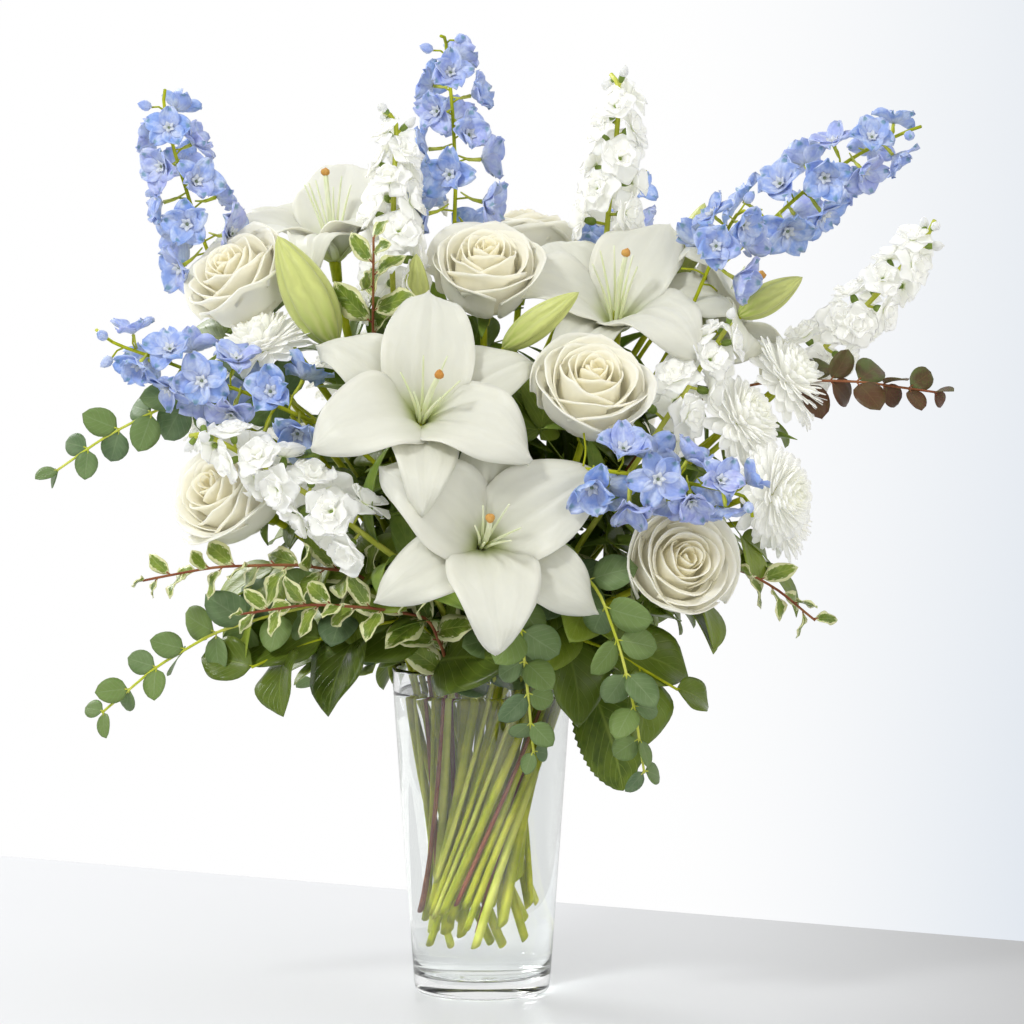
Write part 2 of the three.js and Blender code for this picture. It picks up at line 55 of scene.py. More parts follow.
UP = Vector((0, 0, 1))


# ---- Small maths ----


def lerp(a, b, t):
    return a + (b - a) * t


def ease(low, high, x):
    """0 below low, 1 above high, and a smooth step between them."""
    t = min(1.0, max(0.0, (x - low) / (high - low)))
    return t * t * (3 - 2 * t)


def hump(x, centre, spread):
    return math.exp(-(((x - centre) / spread) ** 2))


def swell(v, peak=1.0, blunt=1.0):
    """A leaf's width along its length: nothing at both ends, widest low down where peak is under 1."""
    return max(0.0, math.sin(math.pi * v**peak)) ** blunt


def frame_at(place, forward, normal):
    """A matrix at place whose Y runs forward and whose Z is as near to normal as it can be."""
    y = forward.normalized()
    side = y.cross(normal)
    if side.length < 1e-4:
        side = y.orthogonal()
    x = side.normalized()
    z = x.cross(y)
    turned = Matrix((x, y, z)).transposed().to_4x4()
    turned.translation = place
    return turned


def around(axis, angle, vector):
    return Quaternion(axis, angle) @ vector


def spoke(ahead, turn):
    """A direction square to ahead, turned about it."""
    return around(ahead, turn, ahead.orthogonal().normalized())


def wobble(seed, *at, size=1.0):
    """Smooth noise from -1 to 1, the same every run."""
    x, y, z = (list(at) + [0.0, 0.0, 0.0])[:3]
    return size * noise.noise(Vector((x + 7.3 * seed, y - 3.1 * seed, z + 1.7 * seed)))


def bend(v, length, rise, curl):
    """How far out and up a blade has come at v, where it starts at the angle rise and turns by curl."""
    if abs(curl) < 1e-4:
        curl = 1e-4
    heading = rise + curl * v
    out = length / curl * (math.sin(heading) - math.sin(rise))
    up = length / curl * (math.cos(rise) - math.cos(heading))
    return out, up, heading


def off_blade(side, out, up, heading, lift):
    """A point lifted square off a blade that is out and up along its course."""
    return (side, out - math.sin(heading) * lift, up + math.cos(heading) * lift)


def arch(start, leaving, arriving, end, steps):
    """Points on a cubic curve from start to end with two handles."""
    points = []
    for i in range(steps):
        t = i / (steps - 1)
        s = 1 - t
        points.append(start * s**3 + leaving * 3 * s * s * t + arriving * 3 * s * t * t + end * t**3)
    return points


# ---- Reading the frame ----


class Solid:
    """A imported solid: its corners and its edges, for cutting level slices and finding axes."""

    def __init__(self, name):
        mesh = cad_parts[name].data
        shape = bmesh.new()
        shape.from_mesh(mesh)
        bmesh.ops.remove_doubles(shape, verts=shape.verts[:], dist=1e-5)
        self.points = np.array([v.co[:] for v in shape.verts])
        self.ends = np.array([[e.verts[0].index, e.verts[1].index] for e in shape.edges])
        self.faces = [(f.calc_center_median(), f.calc_area()) for f in shape.faces]
        shape.free()

    def crossings(self, place, normal):
        """Where the edges cross the plane through place."""
        height = (self.points - np.array(place)) @ np.array(normal)
        a, b = height[self.ends[:, 0]], height[self.ends[:, 1]]
        cut = a * b < 0
        a, b = a[cut], b[cut]
        low, high = self.points[self.ends[cut, 0]], self.points[self.ends[cut, 1]]
        return low + (high - low) * (a / (a - b))[:, None]

    def around(self, place, normal, reach):
        """The crossings within reach of place."""
        found = self.crossings(place, normal)
        return found[np.linalg.norm(found - np.array(place), axis=1) < reach] if len(found) else found

    def centre(self):
        total = sum(area for _, area in self.faces)
        return sum((middle * area for middle, area in self.faces), Vector()) / total

    def round_axis(self):
        """The axis that the solid is most nearly round about."""
        centre = self.centre()
        spread = np.zeros((3, 3))
        for middle, area in self.faces:
            arm = np.array(middle - centre)
            spread += area * np.outer(arm, arm)
        values, vectors = np.linalg.eigh(spread)
        odd = 0 if values[1] - values[0] > values[2] - values[1] else 2
        return Vector(vectors[:, odd]).normalized()


vase_solid = Solid("vase")
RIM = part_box("vase")[1].z
MOUTH = Vector((0, 0, RIM))


def looks_round(heading):
    """The heading itself, then headings that lean away from it by more and more."""
    yield heading
    side = heading.orthogonal().normalized()
    for lean in (0.3, 0.6, 0.9, 1.2):
        for turn in range(10):
            yield around(around(heading, turn * TAU / 10, side), lean, heading)


def trace_stem(solid, radius, step=0.006):
    """The centre line of a stem from its cut end, and how far along it the flowers or leaves begin."""
    order = np.argsort(solid.points[:, 2])
    foot = Vector(solid.points[order[:5]].mean(axis=0))
    inside = solid.crossings(MOUTH, UP)
    inside = inside[np.hypot(inside[:, 0], inside[:, 1]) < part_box("vase")[1].x]
    near_foot = np.linalg.norm(inside[:, :2] - inside[:, :2].mean(axis=0), axis=1)
    out = Vector(inside[near_foot < near_foot.min() + radius * 3].mean(axis=0))
    heading = (out - foot).normalized()
    line = [foot, foot.lerp(out, 0.33), foot.lerp(out, 0.66), out]
    reach = radius * 1.9 + 0.0008
    crown = None
    place = out
    for _ in range(160):
        found = None
        for look in looks_round(heading):
            guess = place + look * step
            near = solid.around(guess, look, reach)
            if len(near) >= 4:
                found = Vector(near.mean(axis=0))
                break
        if found is None:
            break
        if crown is None and len(solid.around(guess, look, 0.024)) > len(near) + 3:
            crown = len(line)
        place = guess.lerp(found, 0.8)
        heading = (heading + (place - line[-1]).normalized() * 1.2).normalized()
        line.append(place)
    return line, crown if crown is not None else len(line) - 1


def smoothed(line, rounds=3):
    line = [p.copy() for p in line]
    for _ in range(rounds):
        line[1:-1] = [(a + b * 2 + c) / 4 for a, b, c in zip(line, line[1:], line[2:])]
    return line


class Course:
    """A smooth line through points, read by length."""

    def __init__(self, points):
        self.points = points
        steps = [(b - a).length for a, b in zip(points, points[1:])]
        self.marks = np.concatenate([[0.0], np.cumsum(steps)])
        self.length = float(self.marks[-1])

    def at(self, distance):
        distance = min(max(distance, 0.0), self.length)
        i = int(np.searchsorted(self.marks, distance, side="right")) - 1
        i = min(i, len(self.points) - 2)
        gap = self.marks[i + 1] - self.marks[i]
        return self.points[i].lerp(self.points[i + 1], (distance - self.marks[i]) / gap if gap else 0.0)

    def ahead(self, distance, span=0.006):
        return (self.at(distance + span) - self.at(distance - span)).normalized()


# ---- Sheets, tubes and pieces ----


def new_shape():
    shape = bmesh.new()
    shape.loops.layers.uv.verify()
    shape.verts.layers.float.new("tint")
    shape.verts.layers.float.new("depth")
    return shape


def sheet(shape, place, across, along, point, slot=0, tint=0.0, depth=0.0):
    """A sheet of across by along faces, where point(u, v) gives its place for u of -1..1 and v of 0..1."""
    before = len(shape.faces)
    made = bmesh.ops.create_grid(
        shape, x_segments=across, y_segments=along, size=1.0, calc_uvs=True)["verts"]
    tints, depths = shape.verts.layers.float["tint"], shape.verts.layers.float["depth"]
    for vert in made:
        vert.co = place @ Vector(point(vert.co.x, (vert.co.y + 1) / 2))
        vert[tints] = tint
        vert[depths] = depth
    shape.faces.ensure_lookup_table()
    for face in shape.faces[before:]:
        face.material_index = slot
        face.smooth = True
    return made


def tube(shape, place, sides, rings, point, slot=0, tint=0.0):
    """A sheet rolled up: point(angle, v) gives its place, and its two ends are closed."""
    made = sheet(shape, place, sides, rings, lambda u, v: point(math.pi * u, v), slot, tint)
    bmesh.ops.remove_doubles(shape, verts=made, dist=1e-6)
    alive = {v for v in made if v.is_valid}
    open_edges = [e for e in {e for v in alive for e in v.link_edges} if e.is_boundary]
    if open_edges:
        caps = bmesh.ops.holes_fill(shape, edges=open_edges, sides=0)["faces"]
        for cap in caps:
            cap.material_index = slot


def rod(shape, course, radius, sides=8, start=0.0, end=None, step=0.008, slot=0, taper=1.0, knots=0.0,
        slant=0.0):
    """A round stem along a course; slant cuts its first end at an angle."""
    end = course.length if end is None else end
    rings = max(2, round((end - start) / step))
    first = course.ahead(start).orthogonal().normalized()
    frames = []
    across = first
    for i in range(rings + 1):
        at = lerp(start, end, i / rings)
        ahead = course.ahead(at)
        across = (across - ahead * across.dot(ahead)).normalized()
        frames.append((course.at(at), across, ahead.cross(across)))

    def point(angle, v):
        centre, x, y = frames[round(v * rings)]
        size = radius * lerp(1.0, taper, v)
        if slant and v == 0:
            centre = centre + (frames[1][0] - centre).normalized() * slant * size * (1 + math.cos(angle))
        if knots:
            size *= 1 + knots * hump((v * (end - start) / 0.045) % 1.0, 0.5, 0.07)
        return centre + (x * math.cos(angle) - y * math.sin(angle)) * size

    tube(shape, Matrix.Identity(4), sides, rings, point, slot)


def spindle(shape, base, tip, radius, sides=8, rings=6, slot=0, tint=0.0, peak=0.8, ribs=0):
    """A bud: a closed round body that is nothing at its base and its tip."""
    length = (tip - base).length
    place = frame_at(base, tip - base, UP if abs((tip - base).normalized().z) < 0.95 else Vector((0, 1, 0)))

    def point(angle, v):
        groove = 0.24 * (1 - abs(math.sin(ribs * angle / 2)) ** 0.5) if ribs else 0
        size = radius * swell(v, peak, 0.75) * (1 - groove)
        return (size * math.cos(angle), length * v, -size * math.sin(angle))

    tube(shape, place, sides, rings, point, slot, tint)


def add_object(name, data):
    made = bpy.data.objects.new(name, data)
    bpy.context.scene.collection.objects.link(made)
    return made


def finish_piece(name, shape, materials, slot, stands_for=(), wall=0.0):
    """Makes an object of a shape, which rides on the frame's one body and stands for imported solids."""
    bmesh.ops.remove_doubles(shape, verts=shape.verts[:], dist=1e-7)
    if not wall:
        bmesh.ops.recalc_face_normals(shape, faces=shape.faces[:])
    mesh = bpy.data.meshes.new(name)
    shape.to_mesh(mesh)
    shape.free()
    for material in materials:
        mesh.materials.append(material)
    obj = add_object(name, mesh)
    if wall:
        thickness = obj.modifiers.new("thickness", "SOLIDIFY")
        thickness.thickness = wall
        thickness.offset = 0.0
    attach(obj, "root")
    if stands_for:
        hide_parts(*stands_for)


# ---- Shader groups ----


class Nodes:
    """A node tree being wired up."""

    def __init__(self, tree):
        self.tree = tree

    def add(self, kind, **settings):
        node = self.tree.nodes.new(kind)
        for key, value in settings.items():
            setattr(node, key, value)
        return node

    def wire(self, start, end):
        self.tree.links.new(start, end)

    def maths(self, operation, a, b=None, clamp=False):
        """The output of a maths node on sockets or numbers."""
        node = self.add("ShaderNodeMath", operation=operation, use_clamp=clamp)
        for socket, value in zip(node.inputs, (a, b)):
            if value is None:
                continue
            if isinstance(value, (int, float)):
                socket.default_value = value
            else:
                self.wire(value, socket)
        return node.outputs[0]

    def times(self, a, b, clamp=False):
        return self.maths("MULTIPLY", a, b, clamp)

    def plus(self, a, b):
        return self.maths("ADD", a, b)

    def minus(self, a, b):
        return self.maths("SUBTRACT", a, b)

    def off_middle(self, value, scale):
        """How far a value is from one half, on either side, times scale."""
        return self.times(self.maths("ABSOLUTE", self.minus(value, 0.5)), scale)

    def coordinates(self, kind):
        """A texture coordinate, and its X, Y and Z."""
        whole = self.add("ShaderNodeTexCoord").outputs[kind]
        parts = self.add("ShaderNodeSeparateXYZ")
        self.wire(whole, parts.inputs[0])
        return whole, parts.outputs

    def clouds(self, place, size, strength):
        """Noise at a scale, from below 0 to above, times strength."""
        texture = self.add("ShaderNodeTexNoise")
        texture.inputs["Scale"].default_value = size
        self.wire(place, texture.inputs["Vector"])
        return self.times(self.minus(texture.outputs["Fac"], 0.5), strength)

    def ramp(self, value, low, high, start=0.0, end=1.0):
        node = self.add("ShaderNodeMapRange", interpolation_type="SMOOTHSTEP")
        self.wire(value, node.inputs["Value"])
        for name, number in (("From Min", low), ("From Max", high), ("To Min", start), ("To Max", end)):
            node.inputs[name].default_value = number
        return node.outputs["Result"]

    def mix(self, factor, a, b):
        """The output of a colour mix; a and b are sockets or colours."""
        node = self.add("ShaderNodeMix", data_type="RGBA")
        if isinstance(factor, (int, float)):
            node.inputs["Factor"].default_value = factor
        else:
            self.wire(factor, node.inputs["Factor"])
        for socket, value in ((node.inputs[6], a), (node.inputs[7], b)):
            if isinstance(value, tuple):
                socket.default_value = (*value, 1.0)
            else:
                self.wire(value, socket)
        return node.outputs[2]


def new_group(name, numbers, outputs):
    """A shader group with numbered inputs and outputs, and its wiring helper."""
    group = bpy.data.node_groups.new(name, "ShaderNodeTree")
    for label, value in numbers.items():
        socket = group.interface.new_socket(label, in_out="INPUT", socket_type="NodeSocketFloat")
        socket.default_value = value
    for label in outputs:
        group.interface.new_socket(label, in_out="OUTPUT", socket_type="NodeSocketFloat")
    nodes = Nodes(group)
    return group, nodes, nodes.add("NodeGroupInput"), nodes.add("NodeGroupOutput")


def make_petal_veins():
    """Fine lines that run along a petal and fan out from its base."""
    group, n, given, out = new_group(
        "petal veins", {"Lines": 14.0, "Waver": 0.05}, ["Veins", "Along", "Edge"])
    uv, axes = n.coordinates("UV")
    across = n.plus(axes["X"], n.clouds(uv, 5.0, given.outputs["Waver"]))
    lines = n.maths("SINE", n.times(n.times(across, given.outputs["Lines"]), TAU))
    n.wire(n.plus(n.times(lines, 0.5), 0.5), out.inputs["Veins"])
    n.wire(axes["Y"], out.inputs["Along"])
    n.wire(n.off_middle(axes["X"], 2.0), out.inputs["Edge"])
    return group


def make_leaf_veins():
    """A midrib, with side veins that slant away from it towards the tip."""
    group, n, given, out = new_group("leaf veins", {"Pairs": 7.0, "Slant": 0.35}, ["Veins", "Rim"])
    uv, axes = n.coordinates("UV")
    edge = n.off_middle(axes["X"], 2.0)
    slanted = n.minus(axes["Y"], n.times(edge, given.outputs["Slant"]))
    phase = n.times(n.plus(slanted, n.clouds(uv, 4.0, 0.04)), given.outputs["Pairs"])
    saw = n.maths("ABSOLUTE", n.minus(n.maths("FRACT", phase), 0.5))
    side_veins = n.ramp(saw, 0.0, 0.09, 0.75, 0.0)
    midrib = n.ramp(edge, 0.0, 0.075, 1.0, 0.0)
    n.wire(n.maths("MAXIMUM", side_veins, midrib), out.inputs["Veins"])
    nearest = n.maths("MAXIMUM", edge, n.off_middle(axes["Y"], 1.7))
    n.wire(n.plus(nearest, n.clouds(uv, 9.0, 0.75)), out.inputs["Rim"])
    return group


def make_mottle():
    """Soft patches and fine grain over a living surface."""
    group, n, given, out = new_group("mottle", {"Scale": 60.0, "Grain": 900.0}, ["Patches", "Grain"])
    place = n.add("ShaderNodeTexCoord").outputs["Object"]
    for label, source in (("Patches", "Scale"), ("Grain", "Grain")):
        texture = n.add("ShaderNodeTexNoise")
        texture.inputs["Detail"].default_value = 3.0
        n.wire(place, texture.inputs["Vector"])
        n.wire(given.outputs[source], texture.inputs["Scale"])
        n.wire(texture.outputs["Fac"], out.inputs[label])
    return group


PETAL_VEINS = make_petal_veins()
LEAF_VEINS = make_leaf_veins()
MOTTLE = make_mottle()


# ---- Materials ----


def new_material(name, roughness, **sockets):
    """A material with its Principled shader, and the wiring helper."""
    material = bpy.data.materials.new(name)
    material.use_nodes = True
    shader = material.node_tree.nodes["Principled BSDF"]
    shader.inputs["Roughness"].default_value = roughness
    for label, value in sockets.items():
        socket = shader.inputs[label.replace("_", " ")]
        socket.default_value = value
    return material, Nodes(material.node_tree), shader


def use_group(n, group, **numbers):
    node = n.add("ShaderNodeGroup", node_tree=group)
    for label, value in numbers.items():
        node.inputs[label].default_value = value
    return node.outputs


def bumped(n, shader, height, strength, distance):
    bump = n.add("ShaderNodeBump")
    bump.inputs["Strength"].default_value = strength
    bump.inputs["Distance"].default_value = distance
    n.wire(height, bump.inputs["Height"])
    n.wire(bump.outputs["Normal"], shader.inputs["Normal"])


def attribute(n, name):
    return n.add("ShaderNodeAttribute", attribute_name=name).outputs["Fac"]


def petal_material(name, colour, base, deep, lines=10.0, reach=0.3, roughness=0.5, glow=0.22,
                   vein_shade=0.04, patch=0.05, bump=0.25, painted_glow=0.0, waver=0.05):
    """A thin petal: its colour, the colour at its base, and the colour deep inside the bloom. Its emission
    makes it give off a faint light in its own colour, a painted glow that brightens its shaded parts.
    """
    material, n, shader = new_material(
        name, roughness, Subsurface_Weight=glow, Subsurface_Radius=(1.0, 0.9, 0.65), Subsurface_Scale=0.012,
        Sheen_Weight=0.12, Sheen_Roughness=0.45, Specular_IOR_Level=0.35, Emission_Strength=painted_glow)
    veins = use_group(n, PETAL_VEINS, Lines=lines, Waver=waver)
    mottle = use_group(n, MOTTLE, Scale=70.0, Grain=1600.0)
    shade = n.mix(attribute(n, "depth"), colour, deep)
    near_base = n.ramp(veins["Along"], 0.0, reach, 1.0, 0.0)
    shade = n.mix(near_base, shade, base)
    darker = tuple(c * (1 - patch * 2.2) for c in colour)
    marks = n.times(n.ramp(mottle["Patches"], 0.4, 0.75), patch * 6, clamp=True)
    shade = n.mix(marks, shade, darker)
    lined = n.times(veins["Veins"], vein_shade * 4, clamp=True)
    shade = n.mix(lined, shade, tuple(c * 0.86 for c in colour))
    n.wire(shade, shader.inputs["Base Color"])
    # painted glow: the petal gives off faint light in its own colour, at the emission strength given
    n.wire(shade, shader.inputs["Emission Color"])
    height = n.plus(n.times(veins["Veins"], 0.6), n.times(mottle["Grain"], 0.4))
    bumped(n, shader, height, bump, 0.0004)
    n.wire(n.ramp(mottle["Grain"], 0.2, 0.8, roughness - 0.06, roughness + 0.08),
           shader.inputs["Roughness"])
    return material


def delphinium_material():
    """Light-blue sepals, paler at the base, lilac in places, with a green thumbprint near the tip."""
    material, n, shader = new_material(
        "delphinium_sepal", 0.5, Subsurface_Weight=0.15, Subsurface_Radius=(0.5, 0.6, 1.0),
        Subsurface_Scale=0.004, Sheen_Weight=0.2)
    veins = use_group(n, PETAL_VEINS, Lines=5.0, Waver=0.35)
    mottle = use_group(n, MOTTLE, Scale=130.0, Grain=1800.0)
    tint = attribute(n, "tint")
    shade = n.mix(tint, (0.24, 0.38, 0.80), (0.46, 0.49, 0.86))
    shade = n.mix(n.ramp(veins["Along"], 0.0, 0.55, 0.75, 0.0), shade, (0.70, 0.77, 0.93))
    shade = n.mix(n.ramp(mottle["Patches"], 0.38, 0.66, 0.0, 0.7), shade, (0.66, 0.75, 0.95))
    shade = n.mix(n.times(veins["Veins"], 0.28), shade, (0.19, 0.27, 0.70))
    middle = n.ramp(veins["Edge"], 0.1, 0.45, 1.0, 0.0)
    near_tip = n.times(n.ramp(veins["Along"], 0.72, 0.84), n.ramp(veins["Along"], 0.9, 0.99, 1.0, 0.0))
    shade = n.mix(n.times(n.times(near_tip, middle), 0.75), shade, (0.10, 0.26, 0.30))
    n.wire(shade, shader.inputs["Base Color"])
    bumped(n, shader, veins["Veins"], 0.3, 0.0003)
    return material


def leaf_material(name, colour, dark, vein, margin=None, roughness=0.4, pairs=7.0, slant=0.35,
                  vein_strength=0.5, coat=0.0, tint_colour=None, bump=0.4):
    """A leaf with a midrib, side veins and darker patches; margin gives it a pale wavy edge."""
    material, n, shader = new_material(
        name, roughness, Coat_Weight=coat, Coat_Roughness=0.25, Specular_IOR_Level=0.32,
        Subsurface_Weight=0.06, Subsurface_Radius=(0.3, 1.0, 0.2), Subsurface_Scale=0.002)
    veins = use_group(n, LEAF_VEINS, Pairs=pairs, Slant=slant)
    mottle = use_group(n, MOTTLE, Scale=90.0, Grain=1500.0)
    shade = n.mix(n.ramp(mottle["Patches"], 0.35, 0.68), dark, colour)
    if tint_colour:
        shade = n.mix(attribute(n, "tint"), shade, tint_colour)
    shade = n.mix(n.times(veins["Veins"], vein_strength), shade, vein)
    if margin:
        shade = n.mix(n.ramp(veins["Rim"], 0.62, 0.72), shade, margin)
    n.wire(shade, shader.inputs["Base Color"])
    height = n.minus(n.times(mottle["Grain"], 0.3), veins["Veins"])
    bumped(n, shader, height, bump, 0.0006)
    n.wire(n.ramp(mottle["Patches"], 0.3, 0.7, roughness - 0.07, roughness + 0.1),
           shader.inputs["Roughness"])
    return material


def stem_material(name, colour, other, joint, roughness=0.42):
    """A stem: two greens in long streaks, and brownish marks here and there."""
    material, n, shader = new_material(name, roughness, Specular_IOR_Level=0.18, Subsurface_Weight=0.08,
                                       Subsurface_Radius=(0.5, 1.0, 0.2), Subsurface_Scale=0.002)
    mottle = use_group(n, MOTTLE, Scale=45.0, Grain=700.0)
    streaks = use_group(n, PETAL_VEINS, Lines=5.0, Waver=0.3)
    shade = n.mix(n.ramp(mottle["Patches"], 0.38, 0.64), colour, other)
    shade = n.mix(n.times(streaks["Veins"], 0.18), shade, tuple(c * 1.25 for c in other))
    shade = n.mix(n.ramp(mottle["Grain"], 0.66, 0.78, 0.0, 0.5), shade, joint)
    shade = n.mix(attribute(n, "tint"), shade, joint)
    n.wire(shade, shader.inputs["Base Color"])
    bumped(n, shader, n.plus(streaks["Veins"], mottle["Grain"]), 0.35, 0.0003)
    return material


def clear_material(name, colour, ior):
    """Glass or water: it refracts, but lets plain light through to what is inside it."""
    material, n, shader = new_material(
        name, 0.0, Base_Color=(*colour, 1.0), IOR=ior, Transmission_Weight=1.0)
    out = next(node for node in material.node_tree.nodes if node.type == "OUTPUT_MATERIAL")
    path = n.add("ShaderNodeLightPath")
    clear = n.add("ShaderNodeBsdfTransparent")
    clear.inputs["Color"].default_value = tuple(lerp(1.0, c, 0.6) for c in colour) + (1.0,)
    blend = n.add("ShaderNodeMixShader")
    n.wire(path.outputs["Is Shadow Ray"], blend.inputs["Fac"])
    n.wire(shader.outputs["BSDF"], blend.inputs[1])
    n.wire(clear.outputs["BSDF"], blend.inputs[2])
    n.wire(blend.outputs["Shader"], out.inputs["Surface"])
    return material


LILY_TEPAL = petal_material(
    "lily_tepal", (0.77, 0.765, 0.645), (0.50, 0.58, 0.15), (0.68, 0.68, 0.46), lines=8.0, reach=0.26,
    roughness=0.42, glow=0.3, vein_shade=0.03, bump=0.3, patch=0.04, waver=0.3)
# the rose, chrysanthemum and stock petals give off a faint painted glow of their own, at strengths from 0.03
# to 0.11
ROSE_PETAL = petal_material(
    "rose_petal", (0.93, 0.905, 0.75), (0.90, 0.86, 0.58), (0.95, 0.86, 0.52), lines=7.0, reach=0.35,
    roughness=0.55, glow=0.5, vein_shade=0.01, bump=0.12, patch=0.02, painted_glow=0.03)
MUM_PETAL = petal_material(
    "chrysanthemum_petal", (0.955, 0.955, 0.90), (0.93, 0.94, 0.80), (0.93, 0.94, 0.72), lines=3.0,
    reach=0.2, roughness=0.5, glow=0.55, vein_shade=0.01, bump=0.2, patch=0.01, painted_glow=0.11)
STOCK_PETAL = petal_material(
    "stock_petal", (0.955, 0.955, 0.91), (0.74, 0.82, 0.44), (0.93, 0.94, 0.82), lines=5.0, reach=0.18,
    roughness=0.55, glow=0.5, vein_shade=0.01, bump=0.15, patch=0.01, painted_glow=0.11)
SEPAL = delphinium_material()
BEE = petal_material("delphinium_eye", (0.72, 0.76, 0.80), (0.50, 0.60, 0.36), (0.7, 0.75, 0.6), lines=2.0)
BEE_HEART = petal_material(
    "delphinium_heart", (0.20, 0.26, 0.16), (0.40, 0.48, 0.26), (0.2, 0.24, 0.16), lines=2.0)
BUD_SKIN = petal_material(
    "lily_bud_skin", (0.60, 0.65, 0.22), (0.36, 0.46, 0.08), (0.80, 0.80, 0.55), lines=12.0, reach=0.6,
    roughness=0.36, glow=0.15, vein_shade=0.25, bump=0.8, waver=0.15)
FILAMENT = stem_material("lily_filament", (0.74, 0.79, 0.50), (0.80, 0.83, 0.62), (0.66, 0.72, 0.36), 0.4)
STIGMA = stem_material("lily_stigma", (0.50, 0.21, 0.04), (0.62, 0.36, 0.10), (0.30, 0.11, 0.03), 0.55)
GREEN_STEM = stem_material("green_stem", (0.30, 0.35, 0.006), (0.52, 0.54, 0.025), (0.27, 0.20, 0.025))
PALE_STEM = stem_material("pale_stem", (0.45, 0.50, 0.035), (0.62, 0.65, 0.12), (0.36, 0.32, 0.06))
RED_STEM = stem_material("red_stem", (0.22, 0.06, 0.03), (0.30, 0.12, 0.05), (0.12, 0.05, 0.03))
EUCALYPTUS = leaf_material(
    "eucalyptus_leaf", (0.15, 0.22, 0.11), (0.10, 0.165, 0.075), (0.30, 0.38, 0.20), roughness=0.5,
    pairs=6.0, vein_strength=0.3, tint_colour=(0.17, 0.25, 0.06), bump=0.2)
GUM = leaf_material("gum_leaf", (0.11, 0.15, 0.04), (0.10, 0.07, 0.03), (0.20, 0.12, 0.05), roughness=0.4,
                    pairs=5.0, vein_strength=0.35, tint_colour=(0.12, 0.055, 0.03), bump=0.2)
PITTOSPORUM = leaf_material(
    "pittosporum_leaf", (0.24, 0.32, 0.04), (0.13, 0.20, 0.025), (0.46, 0.52, 0.14),
    margin=(0.72, 0.73, 0.40), roughness=0.36, pairs=6.0, vein_strength=0.45, coat=0.15)
SALAL = leaf_material("salal_leaf", (0.085, 0.125, 0.010), (0.045, 0.075, 0.007), (0.20, 0.27, 0.04),
                      roughness=0.34, pairs=8.0, slant=0.45, vein_strength=0.5, coat=0.12,
                      tint_colour=(0.14, 0.20, 0.022))
ROSE_LEAF = leaf_material(
    "rose_leaf", (0.13, 0.19, 0.012), (0.07, 0.115, 0.008), (0.29, 0.37, 0.06), roughness=0.38, pairs=9.0,
    slant=0.4, vein_strength=0.55, coat=0.06, tint_colour=(0.25, 0.33, 0.035))
LILY_LEAF = leaf_material(
    "lily_leaf", (0.085, 0.13, 0.010), (0.05, 0.085, 0.008), (0.18, 0.25, 0.04), roughness=0.34, pairs=0.0,
    slant=0.0, vein_strength=0.4, coat=0.1, tint_colour=(0.15, 0.22, 0.03))
CALYX = leaf_material("calyx", (0.22, 0.31, 0.05), (0.15, 0.23, 0.035), (0.32, 0.40, 0.10), pairs=4.0,
                      vein_strength=0.3, bump=0.2)
GLASS = clear_material("vase_glass", (0.985, 0.995, 0.99), 1.5)
WATER = clear_material("water", (0.985, 0.995, 0.99), 1.333)


# ---- Blooms ----


def tepal(shape, place, length, width, rise, curl, seed, depth=0.0):
    """One lily tepal: channelled along its middle, cupped at the base, rolled back and wavy at the tip."""
    roll = random.uniform(0.25, 0.55)
    twist = random.uniform(-0.12, 0.12)

    def point(u, v):
        out, up, heading = bend(v, length, rise, curl)
        half = width / 2 * (0.16 * (1 - v) ** 2 + swell(min(v, 1.0), 0.88, 0.8))
        if v > 0.999:
            half = width * 0.004
        side = u * half
        lift = 0.34 * (1 - v) ** 1.3 * u * u * half
        lift -= 0.0018 * hump(u, 0, 0.10) * swell(v, 0.8)
        lift += 0.0008 * (hump(u, 0.2, 0.1) + hump(u, -0.2, 0.1)) * swell(v, 0.8)
        lift += 0.0006 * math.cos(u * 15 + seed) * swell(v, 0.9)
        lift += 0.0040 * math.sin(TAU * (1.9 * v + seed * 0.37) + u) * abs(u) ** 2.6 * ease(0.12, 0.6, v)
        lift -= 0.008 * abs(u) ** 2.2 * ease(0.45, 1.0, v)
        lift += u * half * twist * v
        lift -= roll * 0.02 * ease(0.7, 1.0, v) ** 2
        lift += wobble(seed, u * 1.1, v * 2.2, size=0.0016)
        return off_blade(side, out, up, heading, lift)

    sheet(shape, place, 14, 26, point, tint=random.random(), depth=depth)


class Bloom:
    """The place of a lily, rose or chrysanthemum: its base, the way it looks, and its size."""

    def __init__(self, base, faces):
        self.base = base
        self.faces = faces.normalized()
        self.right = self.faces.orthogonal().normalized()

    def outward(self, angle):
        return around(self.faces, angle, self.right)

    def petal_frame(self, angle, height=0.0, out=0.0):
        """A matrix whose Y runs outward at an angle about the axis and whose Z is the axis."""
        outward = self.outward(angle)
        return frame_at(self.base + self.faces * height + outward * out, outward, self.faces)


def find_bloom(node, stem_node):
    """A turned bloom's axis from its solid, looking away from its stem."""
    solid = Solid(node)
    axis = solid.round_axis()
    centre = solid.centre()
    stem = Solid(stem_node).points
    tip = Vector(stem[np.argmin(np.linalg.norm(stem - np.array(centre), axis=1))])
    if node.startswith("lily"):
        tip = Vector(stem[np.argsort(stem[:, 2])[:5]].mean(axis=0))
    if axis.dot(centre - tip) < 0:
        axis.negate()
    along = (solid.points - np.array(centre)) @ np.array(axis)
    base = centre + axis * float(along.min())
    return solid, Bloom(base, axis)


